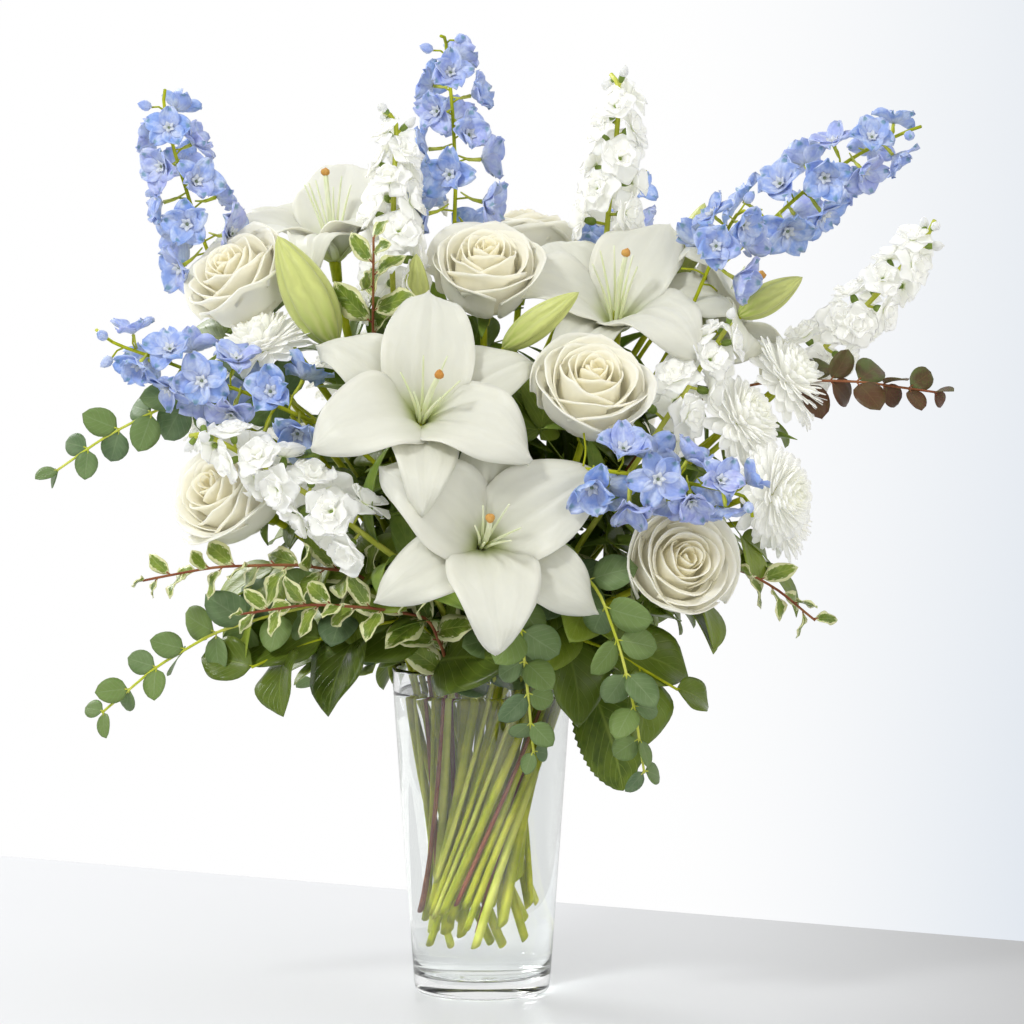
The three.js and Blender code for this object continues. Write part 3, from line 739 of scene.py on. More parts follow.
def broad_tepal(solid, bloom):
    """The direction of one of a lily solid's three broad tepals."""
    arms = solid.points - np.array(bloom.base)
    arms -= np.outer(arms @ np.array(bloom.faces), np.array(bloom.faces))
    lengths = np.linalg.norm(arms, axis=1)
    longest = Vector(arms[np.argmax(lengths)]).normalized()
    across = bloom.faces.cross(longest)
    spread = np.arctan2(arms @ np.array(across), arms @ np.array(longest))
    middle = (lengths > 0.030) & (lengths < 0.062)
    widths = []
    for i in range(6):
        off = np.abs((spread - i * TAU / 6 + math.pi) % TAU - math.pi)
        near = middle & (off < TAU / 12)
        widths.append(float(np.percentile(off[near] * lengths[near], 85)) if near.any() else 0.0)
    broad_ones_lead = sum(widths[0::2]) > sum(widths[1::2])
    return longest if broad_ones_lead else around(bloom.faces, TAU / 6, longest)


LILY_LENGTH = 0.104
LILY_INNER = 0.060
LILY_OUTER = 0.044


def make_lily(name, seed):
    random.seed(seed)
    solid, bloom = find_bloom(f"{name}_bloom", f"{name}_stem")
    bloom.right = broad_tepal(solid, bloom)
    petals = new_shape()
    for i in range(6):
        inner = i % 2 == 0
        angle = i * TAU / 6 + random.uniform(-0.05, 0.05)
        place = bloom.petal_frame(angle, 0.0016 if inner else 0.0, 0.0025)
        length = LILY_LENGTH * (1.0 if inner else 0.97) * random.uniform(0.985, 1.02)
        width = LILY_INNER if inner else LILY_OUTER
        rise = math.radians((66 if inner else 58) + random.uniform(-3, 3))
        curl = math.radians((-78 if inner else -80) + random.uniform(-9, 7))
        tepal(petals, place, length, width, rise, curl, seed + i, 0.0 if inner else 0.12)
    finish_piece(f"{name}_tepals", petals, [LILY_TEPAL], "lily_tepal", [f"{name}_bloom"], wall=TEPAL_WALL)
    return bloom


def make_lily_middle(bloom, shape, slots):
    """Six filaments and a style with a three-lobed stigma."""
    for i in range(6):
        angle = (i + 0.5) * TAU / 6 + random.uniform(-0.2, 0.2)
        spread = random.uniform(0.011, 0.018)
        tall = random.uniform(0.052, 0.062)
        points = []
        for k in range(7):
            t = k / 6
            out = 0.0020 + spread * t**1.35
            points.append(bloom.base + bloom.faces * (0.002 + tall * t) + bloom.outward(angle) * out)
        rod(shape, Course(points), 0.00125, sides=7, step=0.006, slot=slots[0], taper=0.45)
    lean = bloom.outward(random.uniform(0, TAU)) * 0.006
    points = [bloom.base + bloom.faces * (0.064 * t) + lean * t**2 for t in (0, 0.25, 0.5, 0.75, 1.0)]
    course = Course(points)
    rod(shape, course, 0.0021, sides=9, step=0.006, slot=slots[0], taper=0.85)
    ovary = Course([bloom.base - bloom.faces * 0.004, bloom.base + bloom.faces * 0.018])
    rod(shape, ovary, 0.0026, sides=8, slot=slots[2], taper=0.65)
    top = points[-1]
    for i in range(3):
        out = bloom.outward(i * TAU / 3)
        spindle(shape, top - bloom.faces * 0.0015 - out * 0.001, top + bloom.faces * 0.0035 + out * 0.0026,
                0.0027, sides=8, rings=5, slot=slots[1], peak=1.0)


def rose_petal(shape, bloom, angle, t, seed, size):
    """One rose petal: t runs from 0 in the heart to 1 for the outermost."""
    belly = lerp(0.0035, 0.0350, t**0.92) * size
    top = lerp(0.061, 0.052, ease(0.35, 1.0, t)) * size * random.uniform(0.97, 1.02)
    half = math.radians(lerp(112, 62, t**0.6))
    closing = lerp(0.30, 0.0, ease(0.1, 0.75, t))
    flare = lerp(0.0, 0.0045, ease(0.45, 1.0, t)) * size
    roll = lerp(0.3, 0.85, ease(0.15, 0.8, t)) * random.uniform(0.5, 1.2)
    pointed = random.uniform(0.2, 1.0) * ease(0.2, 0.7, t)
    shift = random.uniform(-0.2, 0.2)

    def point(u, v):
        crown = 1 - 0.15 * abs(u + shift * v) ** 2.6 - 0.06 * abs(u) + 0.05 * pointed * hump(u, 0, 0.22)
        turn = angle + u * half * lerp(0.55, 1.0, ease(0.0, 0.45, v))
        rise = top * v * crown
        out = belly * math.sin(min(1.0, v / 0.55) * math.pi / 2) ** 0.7
        out *= 1 - closing * ease(0.5, 1.0, v)
        out += flare * ease(0.45, 1.0, v) ** 1.4
        out += (belly * 0.07 + 0.0006) * wobble(seed, u * 1.4, v * 1.6)
        edge = ease(0.80, 1.0, v * (1 + 0.06 * abs(u)))
        out += 0.0050 * roll * edge**1.4 * size
        rise -= 0.0050 * roll * edge**2.4 * size
        rise += wobble(seed + 3, u * 2.4, v * 2, size=0.0014)
        return bloom.faces * rise + bloom.outward(turn) * out

    place = Matrix.Translation(bloom.base + bloom.faces * 0.002)
    sheet(shape, place, 12, 14, point, tint=random.random(), depth=(1 - t) ** 1.5 * 0.8)


ROSE_PETALS = 25
CHRYSANTHEMUM_PETALS = 175
TEPAL_WALL, ROSE_WALL, STRAP_WALL, FLORET_WALL = 0.0009, 0.0007, 0.0005, 0.0004
LEAF_WALL, LILY_LEAF_WALL = 0.0005, 0.0006


def make_rose(name, seed):
    random.seed(seed)
    _, bloom = find_bloom(f"{name}_bloom", f"{name}_stem")
    petals = new_shape()
    spin = random.uniform(0, TAU)
    opened = random.uniform(0.94, 1.0)
    for i in range(ROSE_PETALS):
        t = i / (ROSE_PETALS - 1)
        rose_petal(petals, bloom, spin + i * GOLDEN * 0.97, t, seed + i, opened)
    finish_piece(f"{name}_petals", petals, [ROSE_PETAL], "rose_petal", [f"{name}_bloom"], wall=ROSE_WALL)
    return bloom


def add_calyx(shape, bloom, slots):
    """The green swelling under a rose and its five narrow sepals, turned back."""
    hip = Course([bloom.base - bloom.faces * 0.010, bloom.base + bloom.faces * 0.004])
    rod(shape, hip, 0.0042, sides=10, slot=slots[0], step=0.004, taper=1.5)
    for i in range(5):
        spike = bloom.petal_frame(i * TAU / 5, -0.001, 0.004)
        down = random.uniform(-0.5, 0.35)

        def point(u, v):
            out, up, _ = bend(v, 0.028, 0.5, -0.6 + down * -1.6)
            return (u * 0.0042 * swell(v * 0.82 + 0.16, 0.8), out, up + 0.001 * u * u)

        solid_leaf(shape, spike, 4, 6, point, slots[1])


SEPAL_WALL = 0.0006


def solid_leaf(shape, place, across, along, point, slot):
    """A small leaf with two skins, for a piece that has no wall modifier."""

    def skin(angle, v):
        u = math.cos(angle)
        x, y, z = point(u, v)
        return (x, y, z + math.sin(angle) * SEPAL_WALL / 2 * (1 if 0 < v < 1 else 0))

    tube(shape, place, across * 2, along, skin, slot)


def strap_petal(shape, bloom, angle, t):
    """One narrow chrysanthemum petal, channelled, curving up in the heart and out at the rim."""
    length = lerp(0.012, 0.0330, t**0.6) * random.uniform(0.9, 1.05)
    width = lerp(0.0062, 0.0104, t) * random.uniform(0.9, 1.1)
    lean = math.radians(lerp(6, 92, t**0.85) + random.uniform(-6, 6))
    curl = math.radians(lerp(30, -18, t) + random.uniform(-14, 14))
    side_bend = random.uniform(-0.0022, 0.0022)

    def point(u, v):
        out, up, heading = bend(v, length, math.pi / 2 - lean, curl)
        half = width / 2 * (0.4 + 0.6 * ease(0, 0.55, v)) * (1 - 0.7 * ease(0.84, 1.0, v) ** 2)
        lift = 0.30 * u * u * half * (1 - 0.4 * v)
        return off_blade(u * half + side_bend * v * v, out, up, heading, lift)

    place = bloom.petal_frame(angle, lerp(0.0140, 0.005, t), lerp(0.001, 0.006, t))
    sheet(shape, place, 3, 7, point, tint=random.random(), depth=(1 - t) ** 3 * 0.7)


def make_chrysanthemum_petals(shape, bloom, seed):
    random.seed(seed)
    for i in range(CHRYSANTHEMUM_PETALS):
        t = ((i + 0.5) / CHRYSANTHEMUM_PETALS) ** 0.8
        strap_petal(shape, bloom, i * GOLDEN + random.uniform(-0.08, 0.08), t)


def stock_floret(shape, place_at, faces, size):
    """One double stock flower: rings of broad, softly frilled petals, closing towards its green eye."""
    bloom = Bloom(place_at, faces)
    whorls = ((5, 82, 0.0170, 0.0190), (4, 54, 0.0128, 0.0150), (3, 28, 0.0085, 0.0095))
    for ring, (count, lean, length, width) in enumerate(whorls):
        for i in range(count):
            angle = (i + ring * 0.5) * TAU / count + random.uniform(-0.2, 0.2)
            tilt = math.radians(lean + random.uniform(-14, 12))
            curl = math.radians(random.uniform(-34, 18))
            long = length * size * random.uniform(0.88, 1.08)
            wide = width * size * random.uniform(0.9, 1.1)
            phase = random.uniform(0, TAU)

            def point(u, v):
                out, up, heading = bend(v, long, math.pi / 2 - tilt, curl)
                half = wide / 2 * (0.16 + 0.84 * ease(0.0, 0.66, v))
                half *= 1 - 0.42 * ease(0.74, 1.0, v) ** 1.5
                round_end = -0.30 * long * u * u * ease(0.55, 1.0, v)
                frill = 0.0010 * size * math.sin(phase + u * 2.4 + v * 2) * ease(0.35, 1.0, v)
                lift = frill + 0.16 * u * u * half
                return off_blade(u * half, out + round_end, up, heading, lift)

            sheet(shape, bloom.petal_frame(angle, 0.004 * size, 0.0012), 6, 6, point, tint=random.random(),
                  depth=0.2 * ring / 2)


def delphinium_floret(sepals, greens, place_at, faces, size, tint, slot):
    """One delphinium flower: five cupped sepals, a spur behind, and a small pale eye."""
    bloom = Bloom(place_at, faces)
    spin = random.uniform(0, TAU)
    openness = random.uniform(0, 1)
    for i in range(5):
        angle = spin + i * TAU / 5 + random.uniform(-0.15, 0.15)
        tilt = math.radians(lerp(44, 78, openness) + random.uniform(-12, 10))
        curl = math.radians(random.uniform(-52, 28))
        long = 0.0198 * size * random.uniform(0.86, 1.1)
        wide = 0.0172 * size * random.uniform(0.84, 1.12)
        phase = random.uniform(0, TAU)

        def point(u, v):
            out, up, heading = bend(v, long, math.pi / 2 - tilt, curl)
            half = wide / 2 * (0.12 * (1 - v) + swell(v * 0.93 + 0.02, 0.95, 0.62))
            lift = 0.42 * u * u * half + 0.0021 * math.sin(phase + 3.8 * u + 6 * v) * v * size
            lift -= 0.0008 * hump(u, 0, 0.2) * swell(v)
            return off_blade(u * half, out, up, heading, lift)

        sheet(sepals, bloom.petal_frame(angle, 0.0005, 0.0008), 5, 7, point,
              tint=min(1.0, max(0.0, tint + random.uniform(-0.25, 0.25))))
    for i in range(5):

        def eye(u, v):
            out, up, _ = bend(v, 0.0068 * size, 1.25, -0.9)
            return (u * 0.0021 * size * swell(v * 0.85 + 0.1), out, up + 0.0008 * u * v)

        sheet(sepals, bloom.petal_frame(spin + (i + 0.5) * TAU / 5, 0.0008, 0.0002), 2, 3, eye, slot=1)
    spindle(sepals, place_at, place_at + faces * 0.0045 * size, 0.0013 * size, sides=6, rings=3, slot=2)
    back = [place_at - faces * 0.0002, place_at - faces * 0.009 * size + UP * 0.001,
            place_at - faces * 0.017 * size + UP * 0.005 * size]
    rod(greens, Course(back), 0.0016 * size, sides=6, step=0.004, slot=slot, taper=0.35)


def in_a_bloom(place):
    """Whether a place lies in the space that a big bloom opens into."""
    for bloom, reach in BIG_BLOOMS:
        arm = place - bloom.base
        if arm.length < reach and arm.dot(bloom.faces) > 0.004:
            return True
    return False


def outward_from_vase(place, rise):
    """The way a leaf at a place turns its face: away from the middle of the bouquet and upward."""
    away = Vector((place.x, place.y, 0))
    away = away.normalized() if away.length > 0.01 else Vector((0, -1, 0))
    return (away + UP * rise).normalized()


def leaf(shape, base, forward, normal, length, width, rise=0.0, curl=-0.4, fold=0.12, peak=0.9, blunt=0.85,
         wave=0.0, teeth=0, across=4, along=8, point_tip=0.0):
    """A leaf from its base; fold lifts its sides, wave ripples its edge and teeth cut it."""
    place = frame_at(base, forward, normal)
    phase = random.uniform(0, TAU)
    tint = random.random()
    if any(in_a_bloom(place @ Vector((0, length * share, 0))) for share in (0.3, 0.6, 0.95)):
        return

    def point(u, v):
        out, up, heading = bend(v, length, rise, curl)
        body = ease(0.0, 0.04, v)
        half = width / 2 * swell(v, peak, blunt)
        half = max(half, 0.0006 * (1 - v)) * (1 - point_tip * ease(0.72, 1.0, v))
        if teeth and abs(u) > 0.9:
            half *= 1 + 0.07 * (abs(((v * teeth) % 1.0) - 0.5) * 2 - 0.5)
        lift = fold * abs(u) * half * 2 * body + wave * math.sin(phase + v * 9) * u * u * half
        lift += 0.02 * half * math.cos(u * 9)
        return off_blade(u * half, out, up, heading, lift)

    sheet(shape, place, across, along, point, tint=tint)


# ---- Stems, read from the frame ----

FOLIAGE_STEM = dict(sides=8, taper=0.55, knots=0.08, slant=1.5)
STEMS = {
    "lily": dict(radius=0.0034, sides=10, taper=0.85, knots=0.06, slant=1.2),
    "rose": dict(radius=0.0028, sides=10, taper=0.85, knots=0.05, slant=1.4),
    "chrysanthemum": dict(radius=0.0022, sides=8, taper=1.0, knots=0.05, slant=1.2),
    "stock": dict(radius=0.0028, sides=10, taper=0.6, knots=0.05, slant=1.0),
    "delphinium": dict(radius=0.0023, sides=8, taper=0.5, knots=0.05, slant=1.0),
    "eucalyptus": dict(radius=0.0016, **FOLIAGE_STEM),
    "gum": dict(radius=0.0015, **FOLIAGE_STEM),
    "pittosporum": dict(radius=0.0015, **FOLIAGE_STEM),
    "salal": dict(radius=0.0017, **FOLIAGE_STEM),
}


def rose_leaves(shape, course, start, end, seed, size, every):
    """Compound leaves of three toothed leaflets on a thin stalk, up a stem above the mouth."""
    random.seed(seed)
    at = start
    turn = random.uniform(0, TAU)
    while at < end:
        base, ahead = course.at(at), course.ahead(at)
        out = spoke(ahead, turn)
        direction = (out + ahead * random.uniform(0.0, 0.6) + UP * random.uniform(-0.35, 0.1)).normalized()
        reach = random.uniform(0.045, 0.062) * size
        for k, (share, side) in enumerate(((1.0, 0), (0.55, 1), (0.55, -1))):
            foot = base + direction * reach * share
            normal = outward_from_vase(foot, 0.7)
            sideways = direction.cross(normal).normalized() * side
            heading = (direction + sideways * 1.1).normalized() if side else direction
            grown = random.uniform(0.85, 1.1) * size
            leaf(shape, foot, heading, normal, 0.048 * grown, 0.032 * grown, rise=random.uniform(-0.3, 0.3),
                 curl=random.uniform(-0.9, -0.3), fold=0.14, teeth=12, along=12, blunt=0.75)
        leaf(shape, base, direction, UP, reach * 1.02, 0.0022, curl=0.001, fold=0.0, blunt=0.1, across=2,
             along=3)
        turn += GOLDEN
        at += every * random.uniform(0.85, 1.15)


def lance_leaves(shape, course, start, end, seed, length, width, every):
    """Narrow lily leaves scattered up a stem."""
    random.seed(seed)
    at = start
    turn = random.uniform(0, TAU)
    while at < end:
        base, ahead = course.at(at), course.ahead(at)
        out = spoke(ahead, turn)
        forward = (out + ahead * random.uniform(0.5, 1.0)).normalized()
        grown = random.uniform(0.75, 1.05)
        leaf(shape, base, forward, ahead, length * grown, width * grown, rise=0.3,
             curl=random.uniform(-1.3, -0.5), fold=0.2, peak=0.8, blunt=0.9, along=10)
        turn += GOLDEN
        at += every


def cut_height():
    """How much higher than the longest stems this one was cut."""
    return random.choice((0.0, 0.004, 0.012, 0.022, 0.036)) * random.uniform(0.6, 1.0)


def read_stem(node, kind):
    """A stem's course, and where along it the flowers or leaves begin."""
    solid = Solid(node)
    line, crown = trace_stem(solid, STEMS[kind]["radius"])
    course = Course(smoothed(line))
    return course, float(course.marks[min(crown, len(course.marks) - 1)])


def above_mouth(course):
    """The distance along a course at which it leaves the vase."""
    return next((m for p, m in zip(course.points, course.marks) if p.z > RIM + 0.002), 0.0)


def joined_to(course, until, bloom, overlap):
    """A course that leaves a stem at a distance and comes up to a bloom along its axis."""
    start = course.at(until)
    out = course.ahead(until)
    end = bloom.base + bloom.faces * overlap
    span = (end - start).length
    near = [course.at(m) for m in course.marks if m < until - 0.004]
    a, b = start + out * span * 0.34, end - bloom.faces * span * 0.36
    return Course(near + arch(start, a, b, end, 15))


BUD_CLEAR_OF_RIM = 0.03
BUD_CLEAR_OF_STEM = 0.012
BUD_NECK = 0.0042


def find_bud(solid, course, bloom):
    """The base and tip of the bud that a lily's stem carries."""
    keep = []
    for p in solid.points:
        p = Vector(p)
        in_line = (p - bloom.base).cross(bloom.faces).length < 0.026
        if p.z < RIM + BUD_CLEAR_OF_RIM or in_line and (p - bloom.base).length < 0.09:
            continue
        near = min((p - course.at(m)).length for m in np.linspace(0, course.length, 50))
        if near > BUD_CLEAR_OF_STEM:
            keep.append(p)
    middle = sum(keep, Vector()) / len(keep)
    tip = max(keep, key=lambda p: (p - course.at(course.length * 0.75)).length)
    near_tip = [p for p in keep if 0.004 < (p - tip).length < 0.045]
    body = sum(near_tip, Vector()) / len(near_tip) if near_tip else middle
    axis = (tip - body).normalized()
    length = 0.0
    for i in range(8, 40):
        length = i * 0.0025
        girth = solid.around(tip - axis * length, axis, 0.03)
        if not len(girth) or np.linalg.norm(girth - girth.mean(axis=0), axis=1).max() < BUD_NECK:
            break
    return tip - axis * length, tip


LILIES = ["lily_front_upper", "lily_front_lower", "lily_back_right", "lily_back_left", "lily_right"]
ROSES = [n[:-6] for n in sorted(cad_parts) if n.startswith("rose_") and n.endswith("_bloom")]
CHRYSANTHEMUMS = [n for n in sorted(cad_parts) if n.startswith("chrysanthemum_")]


def sprays_of(kind):
    return [n for n in sorted(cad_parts) if n.startswith(kind + "_")]


LILY_SPACE = 0.080
ROSE_SPACE = 0.052
BIG_BLOOMS = [
    (find_bloom(f"{n}_bloom", f"{n}_stem")[1], space)
    for names, space in ((LILIES, LILY_SPACE), (ROSES, ROSE_SPACE))
    for n in names
]

BUD_RADIUS = {"lily_front_upper": 0.0175}  # this one is about to open

for index, name in enumerate(LILIES):
    bloom = make_lily(name, 10 + index)
    solid = Solid(f"{name}_stem")
    course, _ = read_stem(f"{name}_stem", "lily")
    mouth = above_mouth(course)
    course = joined_to(course, mouth + 0.03, bloom, -0.006)
    green = new_shape()
    rod(green, course, start=cut_height(), **STEMS["lily"])
    rod(green, Course([bloom.base - bloom.faces * 0.014, bloom.base + bloom.faces * 0.003]), 0.0036,
        sides=10, taper=1.25, step=0.004)
    make_lily_middle(bloom, green, (1, 2, 0))
    base, tip = find_bud(solid, course, bloom)
    fork = course.length * 0.86
    stalk_end = base + (tip - base).normalized() * 0.006
    a = course.at(fork) + course.ahead(fork) * 0.02
    b = stalk_end - (tip - base).normalized() * 0.025
    rod(green, Course(arch(course.at(fork), a, b, stalk_end, 11)), 0.0021, sides=8, taper=1.2)
    finish_piece(f"{name}_stalk", green, [GREEN_STEM, FILAMENT, STIGMA], "stem_green", [f"{name}_stem"])
    bud = new_shape()
    spindle(bud, base, tip, BUD_RADIUS.get(name, 0.0108), sides=36, rings=20, ribs=6, peak=0.82)
    finish_piece(f"{name}_bud", bud, [BUD_SKIN], "stem_green")
    foliage = new_shape()
    lance_leaves(foliage, course, mouth + 0.012, course.length - 0.055, 50 + index, 0.094, 0.024, 0.0095)
    finish_piece(f"{name}_leaves", foliage, [LILY_LEAF], "salal_leaf", wall=LILY_LEAF_WALL)

# one broad leaf hangs over the rim at the right; both places are from the middle of the mouth
HANGING_LEAF_ON = "rose_low_right"
HANGING_LEAF_FOOT = Vector((0.075, -0.046, -0.009))
HANGING_LEAF_TIP = Vector((0.106, -0.058, -0.080))

for index, name in enumerate(ROSES):
    bloom = make_rose(name, 200 + 40 * index)
    course, _ = read_stem(f"{name}_stem", "rose")
    mouth = above_mouth(course)
    course = joined_to(course, max(course.length * 0.8, mouth), bloom, -0.002)
    green = new_shape()
    rod(green, course, start=cut_height(), **STEMS["rose"])
    add_calyx(green, bloom, (0, 1))
    foliage = new_shape()
    if name == HANGING_LEAF_ON:
        start = course.at(mouth + 0.008)
        foot, tip = MOUTH + HANGING_LEAF_FOOT, MOUTH + HANGING_LEAF_TIP
        hanging = Course([start, start.lerp(foot, 0.5) + UP * 0.012, foot, foot.lerp(tip, 0.1)])
        rod(green, hanging, 0.0011, sides=6, step=0.006)
        leaf(foliage, foot, tip - foot, Vector((0.35, -0.9, 0.35)), (tip - foot).length, 0.056, curl=-0.5,
             fold=0.10, teeth=16, along=32, across=8, blunt=0.72, peak=0.85, wave=0.08)
    finish_piece(f"{name}_stalk", green, [GREEN_STEM, CALYX], "stem_green", [f"{name}_stem"])
    rose_leaves(foliage, course, mouth + 0.008, course.length - 0.022, 300 + index, 1.12, 0.022)
    finish_piece(f"{name}_leaves", foliage, [ROSE_LEAF], "salal_leaf", wall=LEAF_WALL)

for index, name in enumerate(CHRYSANTHEMUMS):
    course, crown = read_stem(name, "chrysanthemum")
    top = course.at(crown)
    bloom = Bloom(top - course.ahead(crown - 0.006) * 0.002, course.ahead(crown - 0.006, 0.01))
    petals = new_shape()
    make_chrysanthemum_petals(petals, bloom, 600 + index)
    finish_piece(f"{name}_petals", petals, [MUM_PETAL], "chrysanthemum_petal", [name], wall=STRAP_WALL)
    green = new_shape()
    rod(green, course, start=cut_height(), end=crown, **STEMS["chrysanthemum"])
    rod(green, Course([bloom.base, bloom.base + bloom.faces * 0.013]), 0.0075, sides=12, step=0.003,
        taper=0.8)
    finish_piece(f"{name}_stalk", green, [GREEN_STEM], "stem_green")
    foliage = new_shape()
    rose_leaves(foliage, course, above_mouth(course) + 0.01, crown - 0.03, 340 + index, 0.95, 0.03)
    finish_piece(f"{name}_leaves", foliage, [ROSE_LEAF], "salal_leaf", wall=LEAF_WALL)

# florets stand this far apart up a spike, at least so many, and above this share of it they are buds
STOCK_GAP, STOCK_LEAST, STOCK_BUDS = 0.0070, 9, 0.86
DELPHINIUM_GAP, DELPHINIUM_LEAST, DELPHINIUM_BUDS = 0.0092, 7, 0.93
STOCK_TWIG, DELPHINIUM_TWIG, LEAF_TWIG = 0.0011, 0.0007, 0.0006

for index, name in enumerate(sprays_of("stock")):
    random.seed(700 + index)
    course, crown = read_stem(name, "stock")
    petals, green = new_shape(), new_shape()
    rod(green, course, start=cut_height(), **STEMS["stock"])
    span = course.length - crown
    count = max(STOCK_LEAST, round(span / STOCK_GAP))
    for i in range(count):
        t = i / (count - 1)
        at = crown + span * t * 0.94
        ahead = course.ahead(at)
        out = spoke(ahead, i * GOLDEN)
        faces = (out + ahead * lerp(0.1, 1.0, t**1.3)).normalized()
        size = lerp(1.12, 0.78, t**1.6)
        base = course.at(at)
        away = lerp(0.0125, 0.007, t)
        rod(green, Course([base, base + faces * away]), STOCK_TWIG, sides=6, step=0.005)
        spindle(green, base + faces * (away - 0.005), base + faces * (away + 0.006), 0.0028 * size, slot=1)
        end = base + faces * away
        if t > STOCK_BUDS:
            spindle(petals, end, base + faces * (away + 0.012 * size), 0.0042 * size, sides=8, rings=5)
        else:
            stock_floret(petals, end, faces, size)
    finish_piece(f"{name}_petals", petals, [STOCK_PETAL], "stock_petal", [name], wall=FLORET_WALL)
    finish_piece(f"{name}_stalk", green, [PALE_STEM, CALYX], "stem_green")
    foliage = new_shape()
    lance_leaves(foliage, course, above_mouth(course) + 0.01, crown - 0.01, 370 + index, 0.075, 0.017, 0.02)
    finish_piece(f"{name}_leaves", foliage, [CALYX], "salal_leaf", wall=LEAF_WALL)

LATE_START = {"delphinium_centre_right": 0.026}

for index, name in enumerate(sprays_of("delphinium")):
    random.seed(800 + index)
    course, crown = read_stem(name, "delphinium")
    petals, green = new_shape(), new_shape()
    rod(green, course, start=cut_height(), **STEMS["delphinium"])
    crown += LATE_START.get(name, 0.0)
    span = course.length - crown
    count = max(DELPHINIUM_LEAST, round(span / DELPHINIUM_GAP))
    for i in range(count):
        t = i / (count - 1)
        at = crown + 0.010 + (span - 0.026) * t
        ahead = course.ahead(at)
        out = spoke(ahead, i * GOLDEN + 0.4)
        faces = (out + ahead * lerp(-0.05, 0.6, t) + Vector((0, -0.25, -0.1))).normalized()
        size = lerp(1.05, 0.78, t**1.6)
        base = course.at(at)
        away = lerp(0.024, 0.010, t)
        end = base + faces * away
        twig = Course([base, base.lerp(end, 0.5) + ahead * 0.002, end])
        rod(green, twig, DELPHINIUM_TWIG, sides=6, step=0.005)
        if t > DELPHINIUM_BUDS:
            spindle(petals, end, end + faces * 0.011, 0.0036, sides=8, rings=5, tint=0.3)
        elif not in_a_bloom(end):
            delphinium_floret(petals, green, end, faces, size, random.uniform(0.0, 0.8), 1)
    finish_piece(f"{name}_sepals", petals, [SEPAL, BEE, BEE_HEART], "delphinium_petal", [name],
                 wall=FLORET_WALL)
    finish_piece(f"{name}_stalk", green, [GREEN_STEM, PALE_STEM], "stem_green")

TO_FRONT = Vector((0, -0.9, 0.25))

# leaves stand in rings of one or two, every so far, each ring turned from the last and lifted off the stem
LEAF_FORMS = {
    "eucalyptus": dict(
        length=0.035, width=0.028, every=0.0215, ring=2, turn=math.pi / 2, lift=0.6, early=0.02,
        material=EUCALYPTUS, slot="eucalyptus_leaf", stem=PALE_STEM,
        blade=dict(fold=0.06, blunt=0.6, peak=0.86, curl=-0.3)),
    "gum": dict(
        length=0.027, width=0.022, every=0.0165, ring=2, turn=math.pi / 2, lift=0.65, early=0.02,
        material=GUM, slot="gum_leaf", stem=RED_STEM,
        blade=dict(fold=0.12, blunt=0.5, peak=0.95, curl=-0.3)),
    "pittosporum": dict(
        length=0.034, width=0.0185, every=0.0085, ring=1, turn=GOLDEN, lift=0.75, early=0.02,
        material=PITTOSPORUM, slot="pittosporum_leaf", stem=RED_STEM,
        blade=dict(fold=0.1, wave=0.35, blunt=0.8, peak=0.92, curl=-0.5)),
    "salal": dict(
        length=0.080, width=0.060, every=0.024, ring=1, turn=math.radians(150), lift=0.35, early=0.035,
        material=SALAL, slot="salal_leaf", stem=GREEN_STEM,
        blade=dict(fold=0.12, wave=0.12, blunt=0.72, peak=0.8, curl=-0.7, along=14, across=8, point_tip=0.3)),
}

for kind, form in LEAF_FORMS.items():
    for index, name in enumerate(sprays_of(kind)):
        random.seed(900 + index + len(kind) * 13)
        course, crown = read_stem(name, kind)
        leaves, green = new_shape(), new_shape()
        rod(green, course, start=cut_height(), **STEMS[kind])
        start = crown - form["early"]
        count = max(4, round((course.length - start) / form["every"]))
        for i in range(count):
            t = i / (count - 1)
            at = lerp(start, course.length - 0.002, t)
            ahead = course.ahead(at)
            for j in range(form["ring"]):
                out = spoke(ahead, i * form["turn"] + j * math.pi)
                size = lerp(1.0, 0.5, t**2.2) * random.uniform(0.85, 1.12)
                forward = (out * math.cos(form["lift"]) + ahead * math.sin(form["lift"])).normalized()
                foot = course.at(at)
                if kind == "salal":
                    away = outward_from_vase(foot, 0.25)
                    sideways = away.cross(ahead).normalized() * (1 if (i + j) % 2 else -1)
                    forward = (sideways * random.uniform(0.5, 1.0) + ahead * random.uniform(0.4, 1.0)
                               - UP * random.uniform(0.0, 0.4) + away * 0.25).normalized()
                stalk = 0.003 * size
                face = outward_from_vase(foot, 0.45)
                if kind in ("eucalyptus", "gum"):
                    loose = Vector([random.uniform(-0.6, 0.6) for _ in range(3)])
                    toward = TO_FRONT * (1.0 if foot.y < 0.04 else -0.6)
                    face = (toward + outward_from_vase(foot, 0.5) * 0.35 + ahead * 0.2 + loose).normalized()
                    forward = (forward - face * forward.dot(face) * 0.6).normalized()
                leaf(leaves, foot + forward * stalk, forward, face, form["length"] * size,
                     form["width"] * size, rise=random.uniform(-0.2, 0.2), **form["blade"])
                rod(green, Course([foot, foot + forward * (stalk + 0.002)]), LEAF_TWIG, sides=5, step=0.003)
        finish_piece(f"{name}_leaves", leaves, [form["material"]], form["slot"], [name], wall=LEAF_WALL)
        finish_piece(f"{name}_stalk", green, [form["stem"]], "stem_green")


# ---- Vase and water ----


